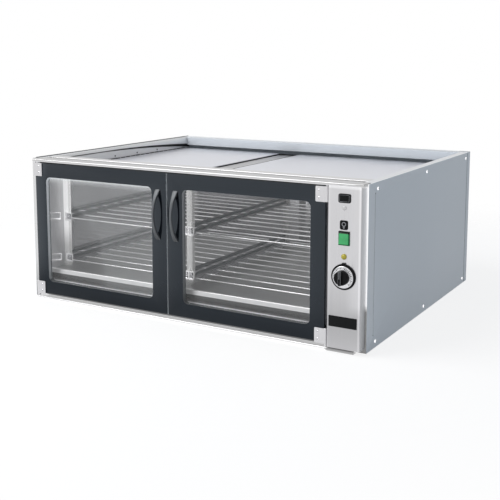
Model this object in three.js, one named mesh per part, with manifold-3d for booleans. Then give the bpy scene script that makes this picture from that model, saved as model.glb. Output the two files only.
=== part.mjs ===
// Proofing cabinet for a bakery: a low stainless cabinet with two glazed doors, two bays of wire racks
// and a control column on the right. Millimetres, +Z up, the front looks along -Y.
// Everything is drawn from the left outer side (x), the front plane of the carcass (y) and the floor (z).
// The group at the end moves that corner so that the origin is the middle of the base.

import * as THREE from 'three';
import { mergeVertices } from 'three/addons/utils/BufferGeometryUtils.js';
import Module from 'manifold-3d';

const wasm = await Module();
wasm.setup();

// Carcass envelope, and the width that the control column takes
const width = 1030;
const height = 400;
const sideDepth = 763;
const rearTrayDepth = 28.7;
const controlWidth = 104;

// Sheet metal and clearances
const sheet = 1.5;
const liner = 1.2;
const seat = 0.3;
const runningGap = 0.6;
const overrun = 5;
const baseFlange = 25;
const curveSegments = 4;

// Top recess and its rim
const rimFlange = 22;
const recessDepth = 36;
const frontRimStart = 52;
const frontRimWidth = 33;
const rearRimDepth = 11;
const rearRimDrop = 27;
const plateLap = 12;
const plateFront = 70;
const plateRearInset = 18;
const plateLip = 4.2;
const stripLeftOffset = 81;
const stripRightOffset = 6;
const channelLap = 12;
const tabSlotLength = 9;
const tabSlotHeight = 3.5;
const tabSlotShares = [0.456, 0.604, 0.751];

// Front frame
const shelfDrop = 8.1;
const headerDrop = 47;
const frameReturn = 30;
const lowerRailTop = 51;
const ledgeHeight = 8;
const ledgeReturn = 18;
const trimReach = 24;
const trimBack = 20;
const trimRise = 2;
const trimHeight = 8;
const trimLip = 20;
const trimBend = 3;

// Side panel slot behind the control column
const slotY = 40.3;
const slotLow = 33;
const slotDrop = 26;
const slotWidth = 1.2;
const slotEndRadius = 1.8;

// Chamber
const chamberLeft = 34;
const chamberRearInset = 63;
const deckTop = 76;
const deckFront = 8;
const deckBend = 9;
const deckGap = 2;
const wallFlange = 24;

// Rack posts, slides and wire racks
const postInset = 11;
const postWidth = 18;
const postDepth = 12;
const postFront = 84;
const rearPostInset = 64;
const lowerSlideRise = 9.5;
const slideSpacingShare = 0.455;
const slideWeb = 24;
const slideLeg = 16;
const slideOffset = 1.5;
const rackSideGap = 0.5;
const rackFrontLap = 6;
const rackRearLap = 14;
const rackBarRadius = 3;
const rackWireRadius = 2.2;
const rackWireRise = 1.6;
const rackFirstWire = 7;
const rackPitch = 54.6;
const wireSides = 6;

// Doors
const doorInset = 29.5;
const doorSeam = 3;
const doorClearance = 3;
const doorLift = 9.8;
const doorFront = -20;
const doorThickness = 14;
const outerStile = 38.5;
const innerStile = 46.5;
const lowerBorder = 36.2;
const upperBorder = 39;
const windowRadius = 14;
const paneThickness = 4;
const paneInset = 5.5;

// Hinges
const pivotInset = 26.7;
const pivotY = -17.7;
const barrelRadius = 4.5;
const pinRadius = 2;
const pinHoleRadius = 2.3;
const pinReach = 5;
const hingePlate = 1.9;
const hingeReach = 27.8;
const hingeHeight = 37;
const lowerHingeLift = 6.8;
const pinSides = 16;

// Bow handles
const handleSeamOffset = 28;
const handleWidth = 15;
const handleWaist = 5.5;
const handleDrop = 52;
const handleLength = 134;
const handleReach = 25;
const handleThickness = 5;
const handleFoot = 10;
const handleSegments = 10;

// Control column, with its controls placed from the top of the carcass
const fasciaWidth = 85;
const fasciaSideInset = 5;
const fasciaReach = 28;
const fasciaBend = 4;
const fasciaUpstand = 5;
const displayDrop = 32;
const displayWidth = 30;
const displayHeight = 21;
const displayRadius = 4;
const displayBodyInset = 2.5;
const displayBodyDepth = 16;
const bezelThickness = 2;
const pilotDrop = 55;
const pilotRadius = 4.5;
const pilotStem = 3;
const pilotDepth = 14;
const rockerDrop = 125;
const rockerWidth = 27;
const rockerHeight = 32.5;
const rockerBodyInset = 0.8;
const rockerWall = 0.8;
const rockerBodyDepth = 18;
const rockerRim = 2.2;
const rockerPivotBack = 1;
const rockerButtonGap = 0.4;
const rockerButtonRise = 3.2;
const rockerButtonDepth = 4;
const rockerSwing = 1;
const rockerTiltDegrees = 6;
const rockerAxleRadius = 1;
const lampDrop = 168;
const lampRadius = 6.6;
const lampStem = 4.5;
const lampDepth = 20;
const lampDome = 3;
const dialDrop = 215.5;
const dialBezelRadius = 30.5;
const dialBezelThickness = 3.4;
const dialBezelBore = 8;
const pointerWidth = 5;
const pointerHeight = 3;
const skirtRadius = 26;
const skirtThickness = 4;
const gripRadius = 17.5;
const gripLength = 12;
const gripBarWidth = 9;
const gripBarRise = 6;
const shaftRadius = 3;
const shaftLength = 14;
const shaftBore = 3.4;
const thermostatSize = 42;
const thermostatDepth = 26;
const bushRadius = 5;
const roundSides = 32;
const smallSides = 20;

// Fitted inside
const panSideInset = 216;
const panFrontInset = 230;
const panRearInset = 170;
const panHeight = 17;
const elementRadius = 4;
const elementLift = 9.5;
const elementSideInset = 46;
const elementFront = 150;
const elementRearInset = 100;
const elementSides = 8;
const elementArcSteps = 6;
const bulbInset = 30;
const bulbDrop = 23;
const bulbRadius = 3;
const bulbLength = 60;
const bulbCollarRadius = 6;
const bulbCollarLength = 4;
const cabinLampDepthShare = 0.5;
const cabinLampDrop = 53;
const cabinLampRadius = 26;
const cabinLampRim = 5;
const cabinLampDome = 15;
const terminalInset = 50;
const terminalRearInset = 143;
const terminalWidth = 46;
const terminalDepth = 30;
const terminalHeight = 32;
const terminalSlot = 5;
const terminalPitch = 11;
const terminalSlots = 3;
const glandInset = 55;
const glandZ = 60;
const glandStem = 8;
const glandNut = 12;
const glandNutLength = 8;
const glandCap = 10;
const glandCapLength = 12;
const glandBore = 4;
const glandInner = 10;

// Derived places, across
const innerLeft = rimFlange + seat;
const innerRight = width - innerLeft;
const chamberRight = width - controlWidth;
const doorMiddle = (chamberLeft + chamberRight) / 2;
const stripLeft = doorMiddle - stripLeftOffset;
const stripRight = doorMiddle - stripRightOffset;
const fasciaRight = width - fasciaSideInset;
const fasciaLeft = fasciaRight - fasciaWidth;
const controlX = (fasciaLeft + fasciaRight) / 2;
const terminalX = width - terminalInset;
const glandX = width - glandInset;

// Derived places, from the front to the rear
const depth = sideDepth + rearTrayDepth + seat;
const rearRimFace = sideDepth - rearRimDepth;
const plateRear = sideDepth - plateRearInset;
const tabSlotYs = tabSlotShares.map((share) => share * sideDepth);
const chamberRear = sideDepth - chamberRearInset;
const rearPostFront = chamberRear - rearPostInset;
const rackFront = postFront + rackFrontLap;
const rackBack = rearPostFront + rackRearLap;
const elementBack = chamberRear - elementRearInset;
const bulbY = chamberRear - bulbInset;
const cabinLampY = cabinLampDepthShare * chamberRear;
const terminalY = sideDepth - terminalRearInset;
const fasciaFront = -fasciaReach;

// Derived places, upwards
const rimTop = height;
const plateTop = rimTop - recessDepth;
const shelfTop = rimTop - shelfDrop;
const headerBottom = height - headerDrop;
const trimTop = height + trimRise;
const trimBottom = trimTop - trimHeight;
const ceilingBottom = headerBottom + sheet + seat;
const floorBottom = lowerRailTop + seat;
const floorTop = floorBottom + liner;
const doorBottom = ledgeHeight + doorLift;
const doorTop = trimBottom - doorClearance;
const windowBottom = doorBottom + lowerBorder;
const windowTop = doorTop - upperBorder;
const fasciaBottom = ledgeHeight + doorClearance;
const fasciaTop = doorTop + fasciaUpstand;
const lowerSlide = deckTop + lowerSlideRise;
const upperSlide = lowerSlide + slideSpacingShare * (headerBottom - deckTop);
const slotHigh = height - slotDrop;
const elementZ = floorTop + elementLift;
const bulbZ = headerBottom - bulbDrop;
const cabinLampZ = headerBottom - cabinLampDrop;
const displayZ = height - displayDrop;
const pilotZ = height - pilotDrop;
const rockerZ = height - rockerDrop;
const lampZ = height - lampDrop;
const dialZ = height - dialDrop;

function plain(color, roughness, metalness) {
  return new THREE.MeshStandardMaterial({ color, roughness, metalness });
}

const finish = {
  sidePanel: plain(0x9ba3ab, 0.45, 0.6),
  stainless: plain(0xcfd0d4, 0.3, 0.8),
  polished: plain(0xb9babd, 0.15, 0.9),
  border: plain(0x3c3f45, 0.2, 0.2),
  handle: plain(0x54585c, 0.45, 0.3),
  black: plain(0x17181a, 0.4, 0.1),
  green: plain(0x50b96e, 0.35, 0),
  yellow: plain(0xb9b446, 0.3, 0),
  dial: plain(0xd8d9db, 0.3, 0.6),
  glass: plain(0xdfe6e8, 0.05, 0),
  element: plain(0x6b625c, 0.6, 0.5),
  plastic: plain(0xd9d7d0, 0.6, 0),
};
finish.glass.transparent = true;
finish.glass.opacity = 0.3;

const axisX = new THREE.Vector3(1, 0, 0);
const axisY = new THREE.Vector3(0, 1, 0);
const axisZ = new THREE.Vector3(0, 0, 1);

const cabinet = new THREE.Group();

function add(name, material, geometry) {
  const mesh = new THREE.Mesh(geometry, material);
  mesh.name = name;
  cabinet.add(mesh);
}

// A block between two values on each axis; the values may come in either order.
function block(xs, ys, zs) {
  const size = [xs, ys, zs].map(([a, b]) => Math.abs(b - a));
  const middle = [xs, ys, zs].map(([a, b]) => (a + b) / 2);
  return new THREE.BoxGeometry(...size).translate(...middle);
}

function extrude(shape, length) {
  return new THREE.ExtrudeGeometry(shape, { depth: length, bevelEnabled: false, curveSegments });
}

// An outline in (y, z), drawn out along x.
function alongX(shape, from, to) {
  const turn = new THREE.Matrix4().makeBasis(axisY, axisZ, axisX);
  return extrude(shape, to - from).applyMatrix4(turn).translate(from, 0, 0);
}

// An outline in (x, z), drawn out along y.
function alongY(shape, from, to) {
  const turn = new THREE.Matrix4().makeBasis(axisX, axisZ, axisY.clone().negate());
  return extrude(shape, to - from).applyMatrix4(turn).translate(0, to, 0);
}

// An outline in (x, y), drawn out along z.
function alongZ(shape, from, to) {
  return extrude(shape, to - from).translate(0, 0, from);
}

// A round bar along x, y or z, between two values on that axis.
function bar(axis, radius, centre, from, to, sides = smallSides) {
  const round = new THREE.CylinderGeometry(radius, radius, to - from, sides);
  const middle = (from + to) / 2;
  if (axis === 'x') return round.rotateZ(Math.PI / 2).translate(middle, ...centre);
  if (axis === 'y') return round.translate(centre[0], middle, centre[1]);
  return round.rotateX(Math.PI / 2).translate(...centre, middle);
}

// A turned piece whose profile is (radius, distance) and whose axis runs along -y from a place.
function turned(profile, x, y, z, sides = smallSides) {
  const points = profile.map(([radius, along]) => new THREE.Vector2(radius, along));
  return new THREE.LatheGeometry(points, sides).rotateX(Math.PI).translate(x, y, z);
}

// Profile points of a dome of one radius and rise that starts at a height and ends on the axis.
function dome(radius, from, rise) {
  const points = [[radius, from]];
  for (let step = 1; step < curveSegments; step += 1) {
    const angle = Math.PI / 2 * step / curveSegments;
    points.push([radius * Math.cos(angle), from + rise * Math.sin(angle)]);
  }
  return [...points, [0, from + rise]];
}

function solidOf(geometry) {
  const bare = geometry.clone();
  bare.deleteAttribute('normal');
  bare.deleteAttribute('uv');
  const merged = mergeVertices(bare);
  const vertProperties = Float32Array.from(merged.attributes.position.array);
  const triVerts = Uint32Array.from(merged.index.array);
  return new wasm.Manifold(new wasm.Mesh({ numProp: 3, vertProperties, triVerts }));
}

function geometryOf(solid) {
  const mesh = solid.getMesh();
  const geometry = new THREE.BufferGeometry();
  geometry.setAttribute('position', new THREE.BufferAttribute(mesh.vertProperties, 3));
  geometry.setIndex(new THREE.BufferAttribute(mesh.triVerts, 1));
  return geometry;
}

function joined(first, ...others) {
  return geometryOf(others.reduce((solid, other) => solid.add(solidOf(other)), solidOf(first)));
}

function cut(first, ...tools) {
  return geometryOf(tools.reduce((solid, tool) => solid.subtract(solidOf(tool)), solidOf(first)));
}

const point = ([a, b]) => new THREE.Vector2(a, b);
const leftOf = (way) => new THREE.Vector2(-way.y, way.x);

// The path with its inner corners rounded by arcs of one radius.
function rounded(path, radius, steps) {
  const places = path.map(point);
  const result = [places[0]];
  for (let i = 1; i < places.length - 1; i += 1) {
    const before = places[i - 1].clone().sub(places[i]).normalize();
    const after = places[i + 1].clone().sub(places[i]).normalize();
    const half = before.angleTo(after) / 2;
    const back = radius / Math.tan(half);
    const inward = before.clone().add(after).normalize();
    const centre = inward.multiplyScalar(radius / Math.sin(half)).add(places[i]);
    const start = before.multiplyScalar(back).add(places[i]).sub(centre);
    const end = after.multiplyScalar(back).add(places[i]).sub(centre);
    const sweep = Math.atan2(start.cross(end), start.dot(end));
    for (let step = 0; step <= steps; step += 1) {
      const spoke = start.clone().rotateAround(new THREE.Vector2(), sweep * step / steps);
      result.push(spoke.add(centre));
    }
  }
  result.push(places[places.length - 1]);
  return result.map((place) => [place.x, place.y]);
}

// Outline of a bent sheet: the path is its outer side, and the wall lies to the left of the way along it.
function bentSheet(path, wall) {
  const outer = path.map(point);
  const ways = outer.slice(1).map((place, i) => place.clone().sub(outer[i]).normalize());
  const inner = outer.map((place, i) => {
    const before = leftOf(ways[Math.max(i - 1, 0)]);
    const after = leftOf(ways[Math.min(i, ways.length - 1)]);
    return before.clone().add(after).multiplyScalar(wall / (1 + before.dot(after))).add(place);
  });
  return new THREE.Shape([...outer, ...inner.reverse()]);
}

// A rectangle with rounded corners, as points that go round it.
function roundedRectangle([x0, x1], [z0, z1], radius) {
  const shape = new THREE.Shape();
  shape.moveTo(x0 + radius, z0);
  shape.lineTo(x1 - radius, z0);
  shape.absarc(x1 - radius, z0 + radius, radius, -Math.PI / 2, 0);
  shape.lineTo(x1, z1 - radius);
  shape.absarc(x1 - radius, z1 - radius, radius, 0, Math.PI / 2);
  shape.lineTo(x0 + radius, z1);
  shape.absarc(x0 + radius, z1 - radius, radius, Math.PI / 2, Math.PI);
  shape.lineTo(x0, z0 + radius);
  shape.absarc(x0 + radius, z0 + radius, radius, Math.PI, Math.PI * 1.5);
  return shape;
}

const around = (middle, size) => [middle - size / 2, middle + size / 2];

// Outer shell

function makeBasePan() {
  const reach = sheet + seat;
  const outer = block([reach, width - reach], [reach, sideDepth - seat], [0, baseFlange]);
  const inner = block(
    [reach + sheet, width - reach - sheet],
    [reach + sheet, sideDepth - seat - sheet],
    [sheet, baseFlange + overrun],
  );
  add('base_pan', finish.stainless, cut(outer, inner));
}

function sidePanel(side) {
  const path = [
    [side(rimFlange), plateTop + seat],
    [side(rimFlange), rimTop],
    [side(0), rimTop],
    [side(0), 0],
  ];
  const mirrored = side(rimFlange) > side(0) ? path : path.reverse();
  const shell = alongY(bentSheet(mirrored, sheet), 0, sideDepth);
  const stile = block([side(0), side(rimFlange)], [0, sheet], [0, rimTop]);
  const slots = tabSlotYs.map((y) => block(
    [side(rimFlange - sheet - overrun), side(rimFlange + overrun)],
    around(y, tabSlotLength),
    [plateTop, plateTop + seat + tabSlotHeight],
  ));
  return cut(joined(shell, stile), ...slots);
}

function makeSidePanels() {
  add('left_side_panel', finish.sidePanel, sidePanel((x) => x));
  const through = [width - sheet - overrun, width + overrun];
  const slit = block(through, around(slotY, slotWidth), [slotLow, slotHigh]);
  const ends = [slotLow, slotHigh].map((z) => bar('x', slotEndRadius, [slotY, z], ...through, wireSides));
  add('right_side_panel', finish.sidePanel, cut(sidePanel((x) => width - x), slit, ...ends));
}

function makeRearPanel() {
  const front = sideDepth + seat;
  const outer = block([0, width], [front, depth], [0, height]);
  const inner = block([sheet, width - sheet], [front - overrun, depth - sheet], [sheet, height - sheet]);
  const hole = bar('y', glandStem + seat, [glandX, glandZ], depth - sheet - overrun, depth + overrun);
  add('rear_panel', finish.sidePanel, cut(outer, inner, hole));
}

// Front frame and rims

const pivotXs = [pivotInset, 2 * doorMiddle - pivotInset];

function makeFrontLowerRail() {
  const path = [
    [frameReturn, lowerRailTop],
    [0, lowerRailTop],
    [0, ledgeHeight],
    [-trimReach, ledgeHeight],
    [-trimReach, 0],
    [ledgeReturn - trimReach, 0],
  ];
  const rail = alongX(bentSheet(path, sheet), innerLeft, innerRight);
  const low = ledgeHeight - sheet - sheet;
  const high = ledgeHeight + overrun;
  const holes = pivotXs.map((x) => bar('z', pinHoleRadius, [x, pivotY], low, high, pinSides));
  add('front_lower_rail', finish.stainless, cut(rail, ...holes));
}

function makeFrontHeader() {
  const rimBack = frontRimStart + frontRimWidth;
  const path = [
    [rimBack, plateTop + seat],
    [rimBack, rimTop],
    [frontRimStart, rimTop],
    [frontRimStart, shelfTop],
    [0, shelfTop],
    [0, headerBottom],
    [frameReturn, headerBottom],
  ];
  add('front_header', finish.stainless, alongX(bentSheet(path, sheet), innerLeft, innerRight));
}

function makeFrontTopTrim() {
  const path = [
    [trimBack, shelfTop + seat],
    [trimBack, trimTop],
    [-trimReach, trimTop],
    [-trimReach, trimBottom],
    [trimLip - trimReach, trimBottom],
  ];
  const trim = alongX(bentSheet(rounded(path, trimBend, 2), sheet), innerLeft, innerRight);
  const low = trimBottom - overrun;
  const high = trimBottom + sheet + sheet;
  const holes = pivotXs.map((x) => bar('z', pinHoleRadius, [x, pivotY], low, high, pinSides));
  add('front_top_trim', finish.stainless, cut(trim, ...holes));
}

function makeRearRim() {
  const rimBack = sideDepth - seat;
  const path = [
    [rimBack, rimTop - (rimBack - rearRimFace)],
    [rimBack, rimTop],
    [rearRimFace, rimTop],
    [rearRimFace, rimTop - rearRimDrop],
  ];
  add('rear_rim', finish.stainless, alongX(bentSheet(path, sheet), innerLeft, innerRight));
}

// Top plates over the chamber

function topPlate(side) {
  const edge = side > 0 ? stripLeft : stripRight;
  const outer = side > 0 ? plateLap : width - plateLap;
  const path = [[edge, plateTop - plateLip], [edge, plateTop], [outer, plateTop]];
  const outline = bentSheet(side > 0 ? path : path.reverse(), sheet);
  return alongY(outline, plateFront, plateRear);
}

function makeTopPlates() {
  add('left_top_plate', finish.stainless, topPlate(1));
  add('right_top_plate', finish.stainless, topPlate(-1));
  const channelBottom = ceilingBottom + liner + seat;
  const channelTop = plateTop - plateLip - seat;
  const path = [
    [stripRight + channelLap, channelBottom],
    [stripRight + channelLap, channelTop],
    [stripLeft - channelLap, channelTop],
    [stripLeft - channelLap, channelBottom],
  ];
  add('centre_top_channel', finish.stainless, alongY(bentSheet(path, sheet), plateFront, plateRear));
}

// Chamber

function makeChamber() {
  const front = sheet + seat;
  const between = [chamberLeft + seat, chamberRight - seat];
  const back = chamberRear + liner;
  const wallHeight = [floorBottom, headerBottom - seat];
  const leftPath = [[chamberLeft, back], [chamberLeft, front], [innerLeft, front]];
  const rightPath = [[chamberRight + wallFlange, front], [chamberRight, front], [chamberRight, back]];
  add('chamber_left_wall', finish.polished, alongZ(bentSheet(leftPath.reverse(), liner), ...wallHeight));
  const lampHole = bar('x', cabinLampRadius / 2, [cabinLampY, cabinLampZ], chamberRight - overrun,
    chamberRight + liner + overrun);
  const right = alongZ(bentSheet(rightPath.reverse(), liner), ...wallHeight);
  add('chamber_right_wall', finish.polished, cut(right, lampHole));
  add('chamber_back_wall', finish.polished,
    block(between, [chamberRear, chamberRear + liner], [floorBottom, ceilingBottom - seat]));
  add('chamber_ceiling', finish.polished,
    block(between, [front, chamberRear + liner], [ceilingBottom, ceilingBottom + liner]));
  add('chamber_floor', finish.polished, block(between, [front, chamberRear - seat], [floorBottom, floorTop]));
}

function makeDeckPlate() {
  const low = floorTop + seat;
  const back = chamberRear - deckFront;
  const path = [[back, low], [back, deckTop], [deckFront, deckTop], [deckFront, low]];
  const outline = bentSheet(rounded(path, deckBend, curveSegments), liner);
  add('deck_plate', finish.polished, alongX(outline, chamberLeft + deckGap, chamberRight - deckGap));
}

// Rack posts and slides

const postXs = {
  left: chamberLeft + postInset,
  centre: doorMiddle,
  right: chamberRight - postInset,
};

function postPath(x, web, open) {
  return [
    [x - postWidth / 2, open],
    [x - postWidth / 2, web],
    [x + postWidth / 2, web],
    [x + postWidth / 2, open],
  ];
}

function makePosts() {
  const low = deckTop + seat;
  const high = ceilingBottom - seat;
  for (const [side, x] of Object.entries(postXs)) {
    const front = postPath(x, postFront, postFront + postDepth);
    const rear = postPath(x, rearPostFront + postDepth, rearPostFront).reverse();
    add(`${side}_front_post`, finish.polished, alongZ(bentSheet(front, liner), low, high));
    add(`${side}_rear_post`, finish.polished, alongZ(bentSheet(rear, liner), low, high));
  }
}

// An angle that hangs between a front and a rear post; its leg points to one side of the post.
function slide(postX, level, side) {
  const web = postX + side * slideOffset;
  const path = [
    [web, level + slideWeb],
    [web, level - liner],
    [web + side * (slideLeg + slideOffset), level - liner],
  ];
  const outline = bentSheet(side > 0 ? path : path.reverse(), liner);
  return alongY(outline, postFront + postDepth + seat, rearPostFront - seat);
}

const bays = {
  left: { from: postXs.left, to: postXs.centre },
  right: { from: postXs.centre, to: postXs.right },
};

const slideLevels = { lower: lowerSlide, upper: upperSlide };

function makeSlides() {
  for (const [bay, { from, to }] of Object.entries(bays)) {
    for (const [place, level] of Object.entries(slideLevels)) {
      add(`${bay}_bay_${place}_slide_left`, finish.polished, slide(from, level, 1));
      add(`${bay}_bay_${place}_slide_right`, finish.polished, slide(to, level, -1));
    }
  }
}

// A wire rack: two side bars that lie on the slides, and cross wires welded over them.
function rack(from, to, level) {
  const left = from + postWidth / 2 + rackSideGap;
  const right = to - postWidth / 2 - rackSideGap;
  const barZ = level + seat + rackBarRadius;
  const pieces = [left + rackBarRadius, right - rackBarRadius].map(
    (x) => bar('y', rackBarRadius, [x, barZ], rackFront, rackBack, wireSides),
  );
  const span = rackBack - rackFront - 2 * rackFirstWire;
  const count = Math.round(span / rackPitch);
  for (let i = 0; i <= count; i += 1) {
    const y = rackFront + rackFirstWire + span * i / count;
    const ends = [left + rackBarRadius / 2, right - rackBarRadius / 2];
    pieces.push(bar('x', rackWireRadius, [y, barZ + rackWireRise], ...ends, wireSides));
  }
  return joined(...pieces);
}

function makeRacks() {
  for (const [bay, { from, to }] of Object.entries(bays)) {
    for (const [place, level] of Object.entries(slideLevels)) {
      add(`${bay}_bay_${place}_rack`, finish.polished, rack(from, to, level));
    }
  }
}

// Under the deck and on the chamber walls

function makeWaterPan() {
  const low = floorTop + seat;
  const xs = [chamberLeft + panSideInset, chamberRight - panSideInset];
  const ys = [panFrontInset, chamberRear - panRearInset];
  const outer = block(xs, ys, [low, low + panHeight]);
  const inner = block(
    [xs[0] + liner, xs[1] - liner],
    [ys[0] + liner, ys[1] - liner],
    [low + liner, low + panHeight + overrun],
  );
  add('water_pan', finish.stainless, cut(outer, inner));
}

function makeHeatingElement() {
  const end = chamberRight - seat;
  const elementLeft = chamberLeft + elementSideInset;
  const radius = (elementBack - elementFront) / 2;
  const corner = Math.min(radius, elementFront - chamberLeft);
  const route = new THREE.CurvePath();
  const at = (x, y) => new THREE.Vector3(x, y, elementZ);
  const bend = (x, y, cx, cy) => new THREE.QuadraticBezierCurve3(at(...x), at(...y), at(cx, cy));
  route.add(new THREE.LineCurve3(at(end, elementFront), at(elementLeft + corner, elementFront)));
  route.add(bend([elementLeft + corner, elementFront], [elementLeft, elementFront],
    elementLeft, elementFront + corner));
  const sideEnds = [elementFront + corner, elementBack - corner];
  route.add(new THREE.LineCurve3(...sideEnds.map((y) => at(elementLeft, y))));
  route.add(bend([elementLeft, elementBack - corner], [elementLeft, elementBack],
    elementLeft + corner, elementBack));
  route.add(new THREE.LineCurve3(at(elementLeft + corner, elementBack), at(end, elementBack)));
  const section = new THREE.Shape(Array.from({ length: elementSides }, (_, i) => {
    const angle = 2 * Math.PI * i / elementSides;
    return new THREE.Vector2(elementRadius * Math.cos(angle), elementRadius * Math.sin(angle));
  }));
  const steps = elementArcSteps * elementSides;
  add('heating_element', finish.element, new THREE.ExtrudeGeometry(section, { steps, extrudePath: route }));
}

function makeCabinLamp() {
  const profile = [
    [0, 0],
    [cabinLampRadius, 0],
    [cabinLampRadius, cabinLampRim],
    ...dome(cabinLampRadius - cabinLampRim, cabinLampRim, cabinLampDome),
  ];
  const points = profile.map(([radius, along]) => new THREE.Vector2(radius, along));
  const lamp = new THREE.LatheGeometry(points, smallSides).rotateZ(Math.PI / 2);
  add('interior_lamp', finish.glass, lamp.translate(chamberRight - seat, cabinLampY, cabinLampZ));
}

function makeSensorBulb() {
  const wall = chamberRight - seat;
  const bulb = bar('x', bulbRadius, [bulbY, bulbZ], wall - bulbLength, wall - seat, smallSides);
  const collar = bar('x', bulbCollarRadius, [bulbY, bulbZ], wall - bulbCollarLength, wall, smallSides);
  add('sensor_bulb', finish.stainless, joined(bulb, collar));
}

// Control column

function makeFascia() {
  const outline = new THREE.Shape();
  outline.moveTo(fasciaLeft, -seat);
  outline.lineTo(fasciaLeft, fasciaFront + fasciaBend);
  outline.absarc(fasciaLeft + fasciaBend, fasciaFront + fasciaBend, fasciaBend, Math.PI, Math.PI * 1.5);
  outline.lineTo(fasciaRight - fasciaBend, fasciaFront);
  outline.absarc(fasciaRight - fasciaBend, fasciaFront + fasciaBend, fasciaBend, Math.PI * 1.5, Math.PI * 2);
  outline.lineTo(fasciaRight, -seat);
  const outer = alongZ(outline, fasciaBottom, fasciaTop);
  const behindUpstand = block(
    [fasciaLeft - overrun, fasciaRight + overrun],
    [-trimReach - seat, overrun],
    [doorTop, fasciaTop + overrun],
  );
  const inner = block(
    [fasciaLeft + sheet, fasciaRight - sheet],
    [fasciaFront + sheet, overrun],
    [fasciaBottom + sheet, doorTop - sheet],
  );
  const through = [fasciaFront - overrun, fasciaFront + sheet + overrun];
  const hole = (radius, z, sides) => bar('y', radius + runningGap, [controlX, z], ...through, sides);
  const window = (w, h, z) => block(
    around(controlX, w + 2 * runningGap),
    through,
    around(z, h + 2 * runningGap),
  );
  const bodyOf = (size, inset) => size - 2 * inset;
  add('control_fascia', finish.stainless, cut(
    outer,
    inner,
    behindUpstand,
    window(bodyOf(displayWidth, displayBodyInset), bodyOf(displayHeight, displayBodyInset), displayZ),
    hole(pilotStem, pilotZ, smallSides),
    window(bodyOf(rockerWidth, rockerBodyInset), bodyOf(rockerHeight, rockerBodyInset), rockerZ),
    hole(lampStem, lampZ, smallSides),
    hole(bushRadius, dialZ, smallSides),
  ));
}

function makeDisplay() {
  const front = fasciaFront - seat;
  const bezel = alongY(
    roundedRectangle(around(controlX, displayWidth), around(displayZ, displayHeight), displayRadius),
    front - bezelThickness,
    front,
  );
  const body = block(
    around(controlX, displayWidth - 2 * displayBodyInset),
    [front - bezelThickness / 2, front + displayBodyDepth],
    around(displayZ, displayHeight - 2 * displayBodyInset),
  );
  add('display_window', finish.black, joined(bezel, body));
}

function makePilotLens() {
  const flange = bezelThickness / 2;
  const profile = [
    [0, -pilotDepth],
    [pilotStem, -pilotDepth],
    [pilotStem, 0],
    [pilotRadius, 0],
    [pilotRadius, flange],
    [pilotRadius / 2, flange + flange],
    [0, flange + flange],
  ];
  add('pilot_lens', finish.glass, turned(profile, controlX, fasciaFront - seat, pilotZ));
}

const rockerFront = fasciaFront - seat - rockerRim;
const rockerPivotY = fasciaFront + rockerPivotBack;

function makeRocker() {
  const bodyWidth = rockerWidth - 2 * rockerBodyInset;
  const bodyHeight = rockerHeight - 2 * rockerBodyInset;
  const rimDepth = [rockerFront, fasciaFront - seat];
  const rim = block(around(controlX, rockerWidth), rimDepth, around(rockerZ, rockerHeight));
  const body = block(
    around(controlX, bodyWidth),
    [rockerFront + rockerRim / 2, fasciaFront + rockerBodyDepth],
    around(rockerZ, bodyHeight),
  );
  const cavity = block(
    around(controlX, bodyWidth - 2 * rockerWall),
    [rockerFront - overrun, fasciaFront + rockerBodyDepth - rockerWall],
    around(rockerZ, bodyHeight - 2 * rockerWall),
  );
  const axleEnds = around(controlX, bodyWidth - rockerWall);
  const axle = bar('x', rockerAxleRadius, [rockerPivotY, rockerZ], ...axleEnds);
  add('rocker_frame', finish.black, joined(cut(joined(rim, body), cavity), axle));

  const halfHeight = bodyHeight / 2 - rockerWall - rockerSwing;
  const top = rockerFront - rockerButtonRise;
  const outline = new THREE.Shape([
    new THREE.Vector2(rockerPivotY + rockerButtonDepth, rockerZ - halfHeight / 2),
    new THREE.Vector2(rockerPivotY + rockerButtonDepth, rockerZ + halfHeight / 2),
    new THREE.Vector2(rockerPivotY, rockerZ + halfHeight),
    new THREE.Vector2(top, rockerZ + halfHeight),
    new THREE.Vector2(top + rockerButtonRise / 2, rockerZ),
    new THREE.Vector2(top, rockerZ - halfHeight),
    new THREE.Vector2(rockerPivotY, rockerZ - halfHeight),
  ]);
  const reach = around(controlX, bodyWidth - 2 * rockerWall - 2 * rockerButtonGap);
  const boreEnds = [reach[0] - overrun, reach[1] + overrun];
  const bore = bar('x', rockerAxleRadius + seat, [rockerPivotY, rockerZ], ...boreEnds);
  const level = cut(alongX(outline, ...reach), bore).translate(0, -rockerPivotY, -rockerZ);
  const tilt = THREE.MathUtils.degToRad(rockerTiltDegrees);
  add('rocker_button', finish.green, level.rotateX(-tilt).translate(0, rockerPivotY, rockerZ));
}

function makeIndicatorLamp() {
  const flange = bezelThickness / 2;
  const profile = [
    [0, -lampDepth],
    [lampStem, -lampDepth],
    [lampStem, 0],
    [lampRadius, 0],
    ...dome(lampRadius, flange, lampDome),
  ];
  add('indicator_lamp', finish.yellow, turned(profile, controlX, fasciaFront - seat, lampZ));
}

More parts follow.
